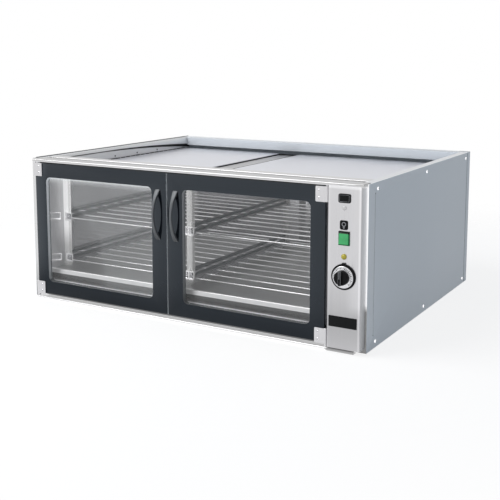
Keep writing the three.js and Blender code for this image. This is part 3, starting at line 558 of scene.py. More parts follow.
class Piece:
    """Collects shapes into one mesh, then makes the named object that rides on a body."""

    def __init__(self, name):
        self.name = name
        self.mesh = bpy.data.meshes.new(name)
        self.whole = bmesh.new()
        self.finishes = []

    def slot_of(self, name):
        if name not in self.finishes:
            self.finishes.append(name)
        return self.finishes.index(name)

    def take(self, bm, finish_name, patches=()):
        """Adds a finished shape in one finish; a patch gives the faces that pass its test another."""
        bmesh.ops.recalc_face_normals(bm, faces=bm.faces)
        for name, test in ((finish_name, None), *patches):
            index = self.slot_of(name)
            for face in bm.faces:
                if test is None or test((face.calc_center_median() - CORNER) / MM, face.normal):
                    face.material_index = index
        part = bpy.data.meshes.new(self.name + "_part")
        bm.to_mesh(part)
        bm.free()
        self.whole.from_mesh(part)
        bpy.data.meshes.remove(part)

    def block(self, xs, ys, zs, finish_name, round_along=None, corner=0, edge=0.3):
        """A block; round_along names the axis of the four edges that get the larger rounding."""
        bm = bmesh.new()
        low, high = spot(xs[0], ys[0], zs[0]), spot(xs[1], ys[1], zs[1])
        size = Matrix.Diagonal((*(high - low), 1))
        bmesh.ops.create_cube(bm, size=1, matrix=Matrix.Translation((low + high) / 2) @ size)
        if round_along:
            bevel(bm, [e for e in bm.edges if along_axis(e, round_along)], corner, 4)
        bevel(bm, sharp(bm), edge, 2)
        self.take(bm, finish_name)

    def drawn(self, bm, plane, span, finish_name, edge, shape=None, patches=()):
        """Draws a flat face out along an axis; shape may then move each of its points."""
        draw_out(bm, bmesh.ops.extrude_face_region(bm, geom=bm.faces[:]), plane, span[1] - span[0])
        for vert in bm.verts if shape else ():
            vert.co = shape(vert.co)
        bmesh.ops.recalc_face_normals(bm, faces=bm.faces)
        bevel(bm, sharp(bm), edge, 2)
        self.take(bm, finish_name, patches)

    def prism(self, plane, path, span, finish_name, edge, shape=None, patches=()):
        """A closed outline drawn out along an axis."""
        bm = bmesh.new()
        bm.faces.new([bm.verts.new(place) for place in outline(plane, path, span[0])])
        self.drawn(bm, plane, span, finish_name, edge, shape, patches)

    def ring(self, plane, outer, inner, span, finish_name, edge, patches=()):
        """A flat frame between two outlines, drawn out along an axis."""
        bm = bmesh.new()
        loops = [strung(bm, outline(plane, path, span[0]), closed=True)[1] for path in (outer, inner)]
        bmesh.ops.triangle_fill(bm, use_beauty=True, edges=loops[0] + loops[1])
        self.drawn(bm, plane, span, finish_name, edge, patches=patches)

    def folded(self, plane, path, span, wall, finish_name, bend, segments=5, patches=()):
        """A folded sheet: the path is its outer side, its bends are rounded, its wall lies to the left."""
        bm = bmesh.new()
        edges = strung(bm, outline(plane, path, span[0]))[1]
        draw_out(bm, bmesh.ops.extrude_edge_only(bm, edges=edges), plane, span[1] - span[0])
        bevel(bm, [e for e in bm.edges if len(e.link_faces) == 2], bend, segments)
        thicken(bm, plane, path, wall)
        bevel(bm, sharp(bm, 70), 0.2, 1)
        self.take(bm, finish_name, patches)

    def turned(self, profile, centre, axis, finish_name, steps):
        """A turned shape: profile points are (radius, distance along the axis)."""
        bm = bmesh.new()
        letter, sign = signed(axis)
        way, side = DIRECTIONS[letter] * sign, DIRECTIONS["Z" if letter == "X" else "X"]
        start = spot(*centre)
        verts, edges = strung(bm, [start + (side * radius + way * along) * MM for radius, along in profile])
        bmesh.ops.spin(
            bm, geom=verts + edges, cent=start, axis=way, angle=2 * math.pi, steps=steps, use_merge=True,
        )
        bmesh.ops.remove_doubles(bm, verts=bm.verts, dist=MERGE)
        self.take(bm, finish_name)

    def rod(self, radius, centre, axis, span, finish_name, steps, edge=0.3):
        """A round bar between two values on an axis; centre gives the other two values."""
        start = list(centre)
        start["XYZ".index(axis)] = span[0]
        length = span[1] - span[0]
        end = [(0, 0), (radius - edge, 0), (radius, edge)]
        profile = end + [(across, length - along) for across, along in reversed(end)]
        self.turned(profile, start, axis, finish_name, steps)

    def copy_of(self, node, finish_name, edge, segments=2, patches=()):
        """The CAD solid itself, merged, with its sharp edges broken."""
        bm = bmesh.new()
        bm.from_mesh(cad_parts[node].data)
        bmesh.ops.remove_doubles(bm, verts=bm.verts, dist=MERGE)
        bmesh.ops.dissolve_limit(bm, angle_limit=math.radians(0.5), verts=bm.verts, edges=bm.edges)
        if edge:
            bevel(bm, sharp(bm), edge, segments)
        self.take(bm, finish_name, patches)

    def done(self, body, replaces=(), smooth=35):
        """Makes the object, which rides on its body and stands for the nodes that it replaces."""
        self.whole.to_mesh(self.mesh)
        self.whole.free()
        for name in self.finishes:
            self.mesh.materials.append(FINISHES[name])
        self.mesh.polygons.foreach_set("use_smooth", [True] * len(self.mesh.polygons))
        self.mesh.set_sharp_from_angle(angle=math.radians(smooth))
        made = bpy.data.objects.new(self.name, self.mesh)
        bpy.context.scene.collection.objects.link(made)
        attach(made, body)
        if replaces:
            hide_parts(*replaces)


def rounded_path(xs, zs, radius, steps=8):
    """Points round a rectangle with rounded corners."""
    corners = [
        (xs[1] - radius, zs[0] + radius, -90),
        (xs[1] - radius, zs[1] - radius, 0),
        (xs[0] + radius, zs[1] - radius, 90),
        (xs[0] + radius, zs[0] + radius, 180),
    ]
    path = []
    for x, z, start in corners:
        for step in range(steps + 1):
            angle = math.radians(start + 90 * step / steps)
            path.append((x + radius * math.cos(angle), z + radius * math.sin(angle)))
    return path


def quarter(radius, start, rise, steps):
    """The points of a dome's profile between its foot and its top, without the two."""
    points = []
    for step in range(1, steps):
        angle = math.pi / 2 * step / steps
        points.append((radius * math.cos(angle), start + rise * math.sin(angle)))
    return points


def domed(radius, start, rise):
    foot = [(0, start - 0.4), (radius, start - 0.4), (radius, start)]
    return foot + quarter(radius, start, rise, 8) + [(0, start + rise)]


def disc(radius, thick):
    return [(0, 0), (radius, 0), (radius, thick), (0, thick)]


def around(middle, size):
    return middle - size / 2, middle + size / 2


def shrunk(span, by):
    """A span that is shorter at both ends."""
    return span[0] + by, span[1] - by


def window_path(door, grow=0.0):
    """The outline of a door's window, made larger on all sides, or smaller."""
    xs = sorted((door["outer"] + door["way"] * 38.5, door["inner"] - door["way"] * 46.5))
    zs = (WINDOW_BOTTOM, WINDOW_TOP)
    return rounded_path(shrunk(xs, -grow), shrunk(zs, -grow), WINDOW_RADIUS + min(grow, 0))


# Faces that look up, which some sheets paint lighter: painted light where it falls from above
def faces_up(place, normal):
    return normal.z > 0.9


# What a user of the panel can change


class ProoferSizes(bpy.types.PropertyGroup):
    bend: bpy.props.FloatProperty(
        name="Sheet bend", description="Outer radius of the folded sheets, in millimetres",
        default=2.0, min=1.6)
    edge: bpy.props.FloatProperty(
        name="Edge break", description="How far sharp sheet edges are broken, in millimetres",
        default=0.35, min=0.05)
    slot_pitch: bpy.props.FloatProperty(
        name="Slot pitch", description="Spacing of the slots in the rack posts, in millimetres",
        default=10.0, min=6)
    screw: bpy.props.FloatProperty(
        name="Screw head", description="Radius of the panel screws' heads, in millimetres",
        default=4.0, min=1)


class ProoferColours(bpy.types.PropertyGroup):
    side: bpy.props.FloatVectorProperty(
        name="Outer panels", description="Coated side panels and rear panel", subtype="COLOR",
        default=(0.775, 0.835, 0.89))
    steel: bpy.props.FloatVectorProperty(
        name="Stainless", description="Brushed stainless sheet", subtype="COLOR",
        default=(0.66, 0.655, 0.67))
    mirror: bpy.props.FloatVectorProperty(
        name="Chamber", description="Polished sheet of the chamber", subtype="COLOR",
        default=(0.56, 0.56, 0.575))
    border: bpy.props.FloatVectorProperty(
        name="Door border", description="Printed border of the doors", subtype="COLOR",
        default=(0.0095, 0.012, 0.0163))
    green: bpy.props.FloatVectorProperty(
        name="Rocker", description="Translucent rocker", subtype="COLOR", default=(0.04, 0.42, 0.13))
    yellow: bpy.props.FloatVectorProperty(
        name="Lamp", description="Translucent lamp", subtype="COLOR", default=(0.5, 0.42, 0.03))


def sizes():
    return bpy.context.scene.proofer_sizes


# Operators


class MakeFinishes(bpy.types.Operator):
    """Every finish that the pieces use"""

    bl_idname = "proofer.finishes"
    bl_label = "Finishes"

    def execute(self, context):
        chosen = context.scene.proofer_colours
        bright, stile = (1, 0.995, 1.01), (0.97, 0.98, 1.0)
        # Each tone paints light and shade from place to place, and each glow on a part that is no lamp is
        # painted light
        FINISHES.update({
            "side": coated("Coated outer panel", chosen.side, 0.5, swing=0.02),
            "steel_x": brushed("Stainless brushed across", chosen.steel, "X", 0.3),
            "steel_z": brushed("Stainless brushed upright", chosen.steel, "Z", 0.3),
            "plate": brushed("Stainless top plate", (0.66, 0.668, 0.71), "X", 0.38, lines=300),
            "strip": brushed("Channel between the plates", (0.42, 0.42, 0.43), "Y", 0.36),
            "rim": coated("Rear rim", (0.685, 0.722, 0.762), 0.45, swing=0.02, tone=RIM_SHADE),
            "trim": brushed("Top trim", bright, "X", 0.3, tone=TRIM_SHADE, glow=0.8, lit=TRIM_LIGHT),
            "header": brushed("Header and front rim", bright, "X", 0.3, tone=HEADER_SHADE),
            "fascia": brushed("Fascia", (0.92, 0.915, 0.945), "Z", 0.3, tone=fascia_shade),
            # The fascia's side: a darker copy of its front, painted shade
            "fascia_side": coated(
                "Fascia side", (0.98, 0.98, 1.0), 0.4, metallic=0.2, swing=0.02, grain=300,
                tone=FASCIA_SIDE_SHADE,
            ),
            # The side panels' front faces, painted bright as a highlight
            "left_stile": brushed("Left front stile", stile, "Z", 0.25, tone=LEFT_STILE_SHADE),
            "rail": brushed("Rail and ledge", bright, "X", 0.3, tone=rail_shade, glow=0.85, lit=rail_light),
            "stile": brushed("Front stile", stile, "Z", 0.25, tone=STILE_SHADE, glow=0.3),
            # The side panels' top faces, painted lighter where the light falls, with painted shadow and
            # highlight lines
            "flange": brushed("Side flange", (0.94, 0.98, 1.03), "Y", 0.4, tone=FLANGE_SHADE),
            # The rear sheets' top faces, painted lighter where the light falls
            "rear_flange": coated("Rear flange", (0.84, 0.86, 0.88), 0.45, swing=0.02),
            "leg": coated(
                "Inner wall of the flange", (0.98, 0.99, 1.0), 0.4, metallic=1.0, swing=0.02,
                tone=leg_shade,
            ),
            # The chamber's sheets, lit by a painted glow
            "wall": polished(
                "Chamber wall sheet", [part * 1.35 for part in chosen.mirror], 0.11, tone=WALL_SHADE,
                glow=0.1, frost=WALL_FROST,
            ),
            # The deck, lit by a painted glow
            "deck": polished("Deck sheet", (1, 1, 1.02), 0.3, swing=0.02, tone=deck_shade, glow=0.35),
            # The slides' dark folds, a shaded copy of their steel, and all their parts lit by a painted
            # glow
            "fold": polished("Rack slide folds", (0.1, 0.105, 0.11), 0.3, glow=0.2),
            "web": polished("Rack slide web", chosen.mirror, 0.06, glow=0.06),
            "clip": polished("Rack slide hook", (0.9, 0.9, 0.91), 0.22, glow=0.22),
            # Black strips and discs put in gaps, slits and holes: painted shadow
            "painted_shadow": coated(
                "Black painted shadow", (0.01, 0.01, 0.011), 0.85, swing=0.2, grain=500, depth=0.00005,
                gloss=1.1,
            ),
            # The posts, lit by a painted glow
            "left_post": polished(
                "Left rack post", (0.97, 0.97, 0.97), 0.25, tone=LEFT_POST_SHADE, glow=0.5,
            ),
            "post": polished("Rack post", (0.9, 0.9, 0.9), 0.25, tone=post_shade, glow=0.3),
            # The racks' wires and side bars, lit by a painted glow
            "wire": polished("Plated rack wire", (0.8, 0.8, 0.81), 0.25, glow=0.18),
            "bar": polished("Rack side bar", (0.3, 0.3, 0.31), 0.25, glow=0.12),
            "border": glossy_black(
                "Printed door border", chosen.border, 1.7, tone=border_shade, tint=(0.78, 0.89, 1),
            ),
            # The left pane adds a painted reflection under its upper edge
            "left_glass": clear("Left door pane", (0.9, 0.93, 0.94), 0.015, 0.12, gleam=0.5),
            "right_glass": clear("Right door pane", (0.9, 0.93, 0.94), 0.015, 0.12),
            "lens": clear("Clear lens", (0.9, 0.9, 0.9), 0.45, 0.5, 0.05),
            "handle": coated(
                "Handle satin grey", (0.15, 0.158, 0.168), 0.42, metallic=0.4, tone=HANDLE_SHADE,
            ),
            "black": coated("Moulded black plastic", (0.009, 0.009, 0.01), 0.38, swing=0.15, gloss=1.2),
            "rubber": coated("Door gasket", (0.02, 0.02, 0.021), 0.75, swing=0.2, grain=500, depth=0.00006),
            "screen": glossy_black("Display screen", (0.004, 0.005, 0.006), 1.25),
            "green": glowing("Green rocker", chosen.green, 0.3, 0.25, tone=CAP_SHADE),
            # A painted highlight on the grip's rounded edges
            "grip_highlight": coated("Painted highlight on the grip's rounded edges", (0.2, 0.2, 0.21), 0.3, gloss=1.4),
            # The rocker's frame, with painted shadow along its top
            "surround": coated(
                "Rocker frame", (0.05, 0.23, 0.11), 0.4, swing=0.15, gloss=1.2, tone=FRAME_SHADE,
            ),
            "yellow": glowing("Yellow lamp", chosen.yellow, 0.22, 0.15),
            "dial": brushed("Spun dial", (0.72, 0.72, 0.74), "Y", 0.24, lines=260),
            "mark": coated("Dial marking", (0.02, 0.02, 0.022), 0.6, gloss=1.15),
            "seam": coated("Shadow in a seam", (0.16, 0.165, 0.17), 0.7, swing=0.3, grain=60),
            # The window's cut edges, lit by a painted glow
            "liner": polished("Window cut edge", (0.8, 0.84, 0.88), 0.35, tone=liner_shade, glow=0.3),
            # Dark: painted shade on the window's lower cut edge; the pane's bead takes it too
            "sill": coated("Window lower cut edge", (0.1, 0.105, 0.11), 0.35),
            "edge": coated("Bright glass edge", (0.62, 0.65, 0.67), 0.25, metallic=0.4),
            "screw": polished("Screw", (0.8, 0.8, 0.82), 0.2),
            # Panel screw heads, lit by a painted glow
            "panel_screw": polished("Panel screw", (1, 1, 1), 0.25, glow=0.6),
            # Painted shade in the screws' cross recesses
            "recess": coated("Drive recess", (0.05, 0.05, 0.055), 0.6),
            "element": heat_tinted("Element sheath", (0.16, 0.13, 0.115)),
            "pale": coated("Pale moulding", (0.66, 0.65, 0.62), 0.5),
            "label": coated("Symbol on its label", (0.5, 0.5, 0.52), 0.5),
        })
        return {"FINISHED"}


class MakeCarcass(bpy.types.Operator):
    """Outer panels, front frame and the top"""

    bl_idname = "proofer.carcass"
    bl_label = "Carcass"

    def execute(self, context):
        edge = sizes().edge
        # These patches paint light and shade on the side panels: bright front faces, lighter top faces, and
        # a painted reflection on the left flange's inner wall; the rear panel's top faces are painted
        # lighter too
        folds = (
            ("stile", lambda place, normal: place.y < 0.5 and normal.y < -0.7 and place.x > 500),
            ("left_stile", lambda place, normal: place.y < 0.5 and normal.y < -0.7 and place.x < 500),
            ("flange", lambda place, normal: place.z > 399 and normal.z > 0.6),
            ("leg", lambda place, normal: 18 < place.x < 24 and place.z > 300 and normal.x > 0.9),
        )
        for node, kind, slot, patches in (
            ("left_side_panel", "side", "side_steel", folds),
            ("right_side_panel", "side", "side_steel", folds),
            ("rear_panel", "side", "side_steel", [("rear_flange", faces_up)]),
            ("base_pan", "steel_x", "stainless", ()),
        ):
            piece = Piece(node + "_sheet")
            piece.copy_of(node, kind, edge, patches=patches)
            if node == "left_side_panel":
                piece.block((0.2, 1.8), (14, 789), (400.02, 401.8), "seam", edge=0.2)
            piece.done(ROOT, [node])
        self.front_frame()
        self.top()
        self.screws()
        return {"FINISHED"}

    def front_frame(self):
        rail = [(30, 51), (0, 51), (0, 8), (-24, 8), (-24, 0), (-6, 0)]
        header = [(85, 364.3), (85, 400), (52, 400), (52, 391.9), (0, 391.9), (0, 353), (30, 353)]
        for name, path, kind, node in (
            ("lower_rail_sheet", rail, "rail", "front_lower_rail"),
            ("header_sheet", header, "header", "front_header"),
        ):
            piece = Piece(name)
            piece.folded("X", path, BETWEEN_SIDES, SHEET, kind, sizes().bend)
            piece.done(ROOT, [node])
        # A black strip along the header: painted shadow in the gap over the doors
        painted_shadow = Piece("header_shadow_strip")
        painted_shadow.block((30, 930), (-4, -0.1), (384, 393.4), "painted_shadow", edge=0.8)
        painted_shadow.done(ROOT)
        # The trim ends in a shorter part over the control column's outer corner
        trim = Piece("top_trim_sheet")
        front = [(-24, 402), (-24, 394), (-4, 394)]
        trim.folded("X", [(20, 392.2), (20, 402)] + front, BETWEEN_SIDES, SHEET, "trim", 3.0)
        trim.folded("X", [(14, 400.4), (14, 402)] + front, (1007.6, 1026.6), SHEET, "trim", 1.5)
        # A black strip behind the short part: painted shadow in the gap over the fascia
        trim.block((996, 1027), (14.6, 18.4), (400.02, 400.6), "painted_shadow", edge=0.1)
        trim.done(ROOT, ["front_top_trim"])

    def top(self):
        rim = Piece("rear_rim_sheet")
        path = [(762.7, 389.3), (762.7, 400), (752, 400), (752, 373)]
        # Its top faces are painted lighter, where the light falls
        folds = [("rear_flange", faces_up)]
        rim.folded("X", path, BETWEEN_SIDES, SHEET, "rim", sizes().bend, patches=folds)
        rim.block((24, 1006), (761.6, 763), (399.4, 400.1), "seam", edge=0.1)
        rim.done(ROOT, ["rear_rim"])
        left_fold = [(LEFT_PLATE_EDGE, PLATE_LOW), (LEFT_PLATE_EDGE, PLATE_TOP), (12, PLATE_TOP)]
        right_fold = [(1018, PLATE_TOP), (RIGHT_PLATE_EDGE, PLATE_TOP), (RIGHT_PLATE_EDGE, PLATE_LOW)]
        channel = [(486, 356.3), (486, 359.5), (387, 359.5), (387, 356.3)]
        for name, path, kind, bend, node in (
            ("left_top_sheet", left_fold, "plate", 1.8, "left_top_plate"),
            ("right_top_sheet", right_fold, "plate", 1.8, "right_top_plate"),
            ("top_channel_sheet", channel, "strip", 1.7, "centre_top_channel"),
        ):
            piece = Piece(name)
            piece.folded("Y", path, PLATE_SPAN, SHEET, kind, bend)
            piece.done(ROOT, [node])
        # Black strips, dashes and discs: painted shadow along the plates' edges by the channel and at its
        # rear end, along the foot of the left flange's inner wall, and in its holes
        shadows = Piece("top_plate_shadows")
        foot, inside = 359.55, shrunk(PLATE_SPAN, 1)
        for xs, ys, top in (
            ((LEFT_PLATE_EDGE + 0.2, LEFT_PLATE_EDGE + 3.4), inside, 361.6),
            ((RIGHT_PLATE_EDGE - 2.6, RIGHT_PLATE_EDGE - 0.2), inside, 363.9),
            ((LEFT_PLATE_EDGE + 0.2, RIGHT_PLATE_EDGE - 0.2), (738, 744), 362.4),
        ):
            shadows.block(xs, ys, (foot, top), "painted_shadow", edge=0.1)
        for y in range(296, 736, 26):
            shadows.block((22.2, 24.4), (y, y + 20), (364.05, 365.2), "painted_shadow", edge=0.1)
        for y in (345, 459, 570):
            shadows.turned(disc(2.6, 0.2), (22, y, 373), "X", "painted_shadow", 16)
        shadows.done(ROOT)

    def screws(self):
        for side, x, way in (("left", 0, "-X"), ("right", WIDTH, "X")):
            piece = Piece(side + "_panel_screws")
            for y in (53.4, 396.8, 748.2):
                for z in SCREW_HEIGHTS:
                    # Their heads are lit by a painted glow
                    pan_screw(piece, (x, y, z), way, sizes().screw, "panel_screw")
            piece.done(ROOT)
        # Black strips and discs: painted shadow in the right panel's slit and at its ends, in its rear
        # corner, and in the seam along its top at the rear
        slit = Piece("right_panel_slit_shadows")
        ends = (33, 374)
        slit.block((1028.9, 1029.8), (39.75, 40.85), ends, "painted_shadow", edge=0.1)
        for z in ends:
            slit.turned(disc(1.7, 0.3), (1029.5, 40.3, z), "X", "painted_shadow", 16)
        slit.block((1029.2, 1030.1), (762.2, 764.0), (3, 397), "painted_shadow", edge=0.1)
        slit.block((996, 1029), (790, 791.6), (400.02, 400.5), "seam", edge=0.1)
        slit.done(ROOT)
        rear = Piece("rear_panel_screws")
        for x in (20, 350, 680, 1010):
            for z in SCREW_HEIGHTS:
                pan_screw(rear, (x, REAR, z), "Y", sizes().screw)
        rear.done(ROOT)


def pan_screw(piece, centre, axis, radius, head="screw"):
    """A pan head whose cross recess is painted on as dark shade, standing on a face."""
    foot, rise = 0.1, radius * 0.55
    shank = [(0, -0.6), (radius * 0.95, -0.6), (radius, foot)]
    profile = shank + quarter(radius, foot, rise, 6) + [(0, foot + rise)]
    piece.turned(profile, centre, axis, head, 16)
    letter, sign = signed(axis)
    index = "XYZ".index(letter)
    for across in (i for i in range(3) if i != index):
        reach = [radius * 0.12] * 3
        reach[across] = radius * 0.42
        spans = []
        for i, middle in enumerate(centre):
            if i == index:
                spans.append(tuple(sorted((middle + sign * rise * 0.6, middle + sign * (rise + 0.16)))))
            else:
                spans.append((middle - reach[i], middle + reach[i]))
        piece.block(*spans, "recess", edge=0.02)


class MakeDoors(bpy.types.Operator):
    """Two doors: border, pane, handle, hinges, screws and gasket"""

    bl_idname = "proofer.doors"
    bl_label = "Doors"

    def execute(self, context):
        for side, door in DOORS.items():
            body = side + "_door"
            self.border(side, door, body)
            self.pane(side, door, body)
            self.handle(side, door, body)
            self.gasket(side, door, body)
            for hinge in HINGES:
                self.hinge(side, door, body, *hinge)
        return {"FINISHED"}

    def border(self, side, door, body):
        inner, outer, notch = door["inner"], door["outer"], door["pivot"] + door["way"] * NOTCH_OFF
        path = [
            (inner, DOOR_BOTTOM), (inner, DOOR_TOP), (notch, DOOR_TOP), (notch, NOTCH_HIGH),
            (outer, NOTCH_HIGH), (outer, NOTCH_LOW), (notch, NOTCH_LOW), (notch, DOOR_BOTTOM),
        ]
        piece = Piece(side + "_border_glass")
        piece.ring("Y", path, window_path(door), (DOOR_FRONT, DOOR_BACK), "border", 0.5)
        piece.done(body, [side + "_door_border"])
        liner = Piece(side + "_window_edge")
        # Its upward faces take the dark sill finish: painted shade along the window's lower edge
        sill = ("sill", lambda place, normal: normal.z > 0.5)
        ys = (DOOR_FRONT + 0.4, DOOR_BACK - 0.3)
        liner.ring("Y", window_path(door, 0.02), window_path(door, -0.2), ys, "liner", 0.02, [sill])
        liner.done(body)
        seam = Piece(side + "_seam_edge")
        xs = sorted((inner, inner + door["way"] * 0.5))
        ys, zs = shrunk((DOOR_FRONT, DOOR_BACK), 0.6), shrunk((DOOR_BOTTOM, DOOR_TOP), 1)
        seam.block(xs, ys, zs, "edge", edge=0.1)
        seam.done(body)

    def pane(self, side, door, body):
        piece = Piece(side + "_pane_glass")
        piece.prism("Y", window_path(door, -1.0), (-14.5, -10.5), side + "_glass", 0.3)
        piece.done(body, [side + "_door_pane"])
        bead = Piece(side + "_pane_bead")
        bead.ring("Y", window_path(door, -0.3), window_path(door, -1.3), (-10.4, -8.4), "sill", 0.2)
        bead.done(body)

    def handle(self, side, door, body):
        outside = self.bow(HANDLE_BOTTOM, HANDLE_TOP, 25)
        inside = self.bow(HANDLE_BOTTOM + 10, HANDLE_TOP - 10, 20)
        piece = Piece(side + "_bow_handle")
        # Its faces turned to the door are painted black, as the shade behind the bow
        piece.prism(
            "X", outside + inside[::-1], around(door["handle"], HANDLE_FOOT), "handle", 0.9,
            self.waist(door["handle"]), [("black", lambda place, normal: normal.y > 0.4)],
        )
        piece.done(body, [side + "_door_handle"], smooth=30)

    def waist(self, middle):
        """Narrows the grip from its wide feet to its waist."""
        def narrow(place):
            height = (place - CORNER).z / MM
            share = (2 * height - HANDLE_BOTTOM - HANDLE_TOP) / (HANDLE_TOP - HANDLE_BOTTOM)
            width = (HANDLE_WAIST + (HANDLE_FOOT - HANDLE_WAIST) * share ** 2) / HANDLE_FOOT
            return Vector((spot(middle, 0, 0).x * (1 - width) + place.x * width, place.y, place.z))
        return narrow

    def bow(self, low, high, reach):
        """An arc that stands out from the door by its reach, seen from the side."""
        half, middle, steps = (high - low) / 2, (low + high) / 2, 24
        radius = (half * half + reach * reach) / (2 * reach)
        centre = DOOR_FRONT - SEAT - reach + radius
        spread = math.asin(half / radius)
        points = []
        for step in range(steps + 1):
            angle = spread * (2 * step / steps - 1)
            points.append((centre - radius * math.cos(angle), middle + radius * math.sin(angle)))
        return points

    def gasket(self, side, door, body):
        xs = sorted((door["outer"] + door["way"] * 9, door["inner"] - door["way"] * 3))
        outer = rounded_path(xs, GASKET_SPAN, 6)
        inner = rounded_path(shrunk(xs, 8), shrunk(GASKET_SPAN, 8), 4)
        piece = Piece(side + "_door_gasket")
        piece.ring("Y", outer, inner, (DOOR_BACK + 0.1, -0.8), "rubber", 1.6)
        piece.done(body)

    def hinge(self, side, door, body, level, plate, barrel, pin):
        pivot, way = door["pivot"], door["way"]
        piece = Piece(f"{side}_{level}_hinge_leaf")
        xs = sorted((pivot, pivot + way * HINGE_REACH))
        piece.block(xs, (HINGE_FRONT, HINGE_BACK), plate, "steel_z", "Y", 2.5, 0.35)
        piece.rod(4.5, (pivot, PIVOT_Y, 0), "Z", barrel, "steel_z", 24, 0.5)
        piece.rod(2, (pivot, PIVOT_Y, 0), "Z", pin, "screw", 16, 0.4)
        middle = (plate[0] + plate[1]) / 2
        for z in around(middle, 18):
            pan_screw(piece, (pivot + way * 18, HINGE_FRONT, z), "-Y", 3.2)
        piece.done(body, [f"{side}_{level}_hinge"])


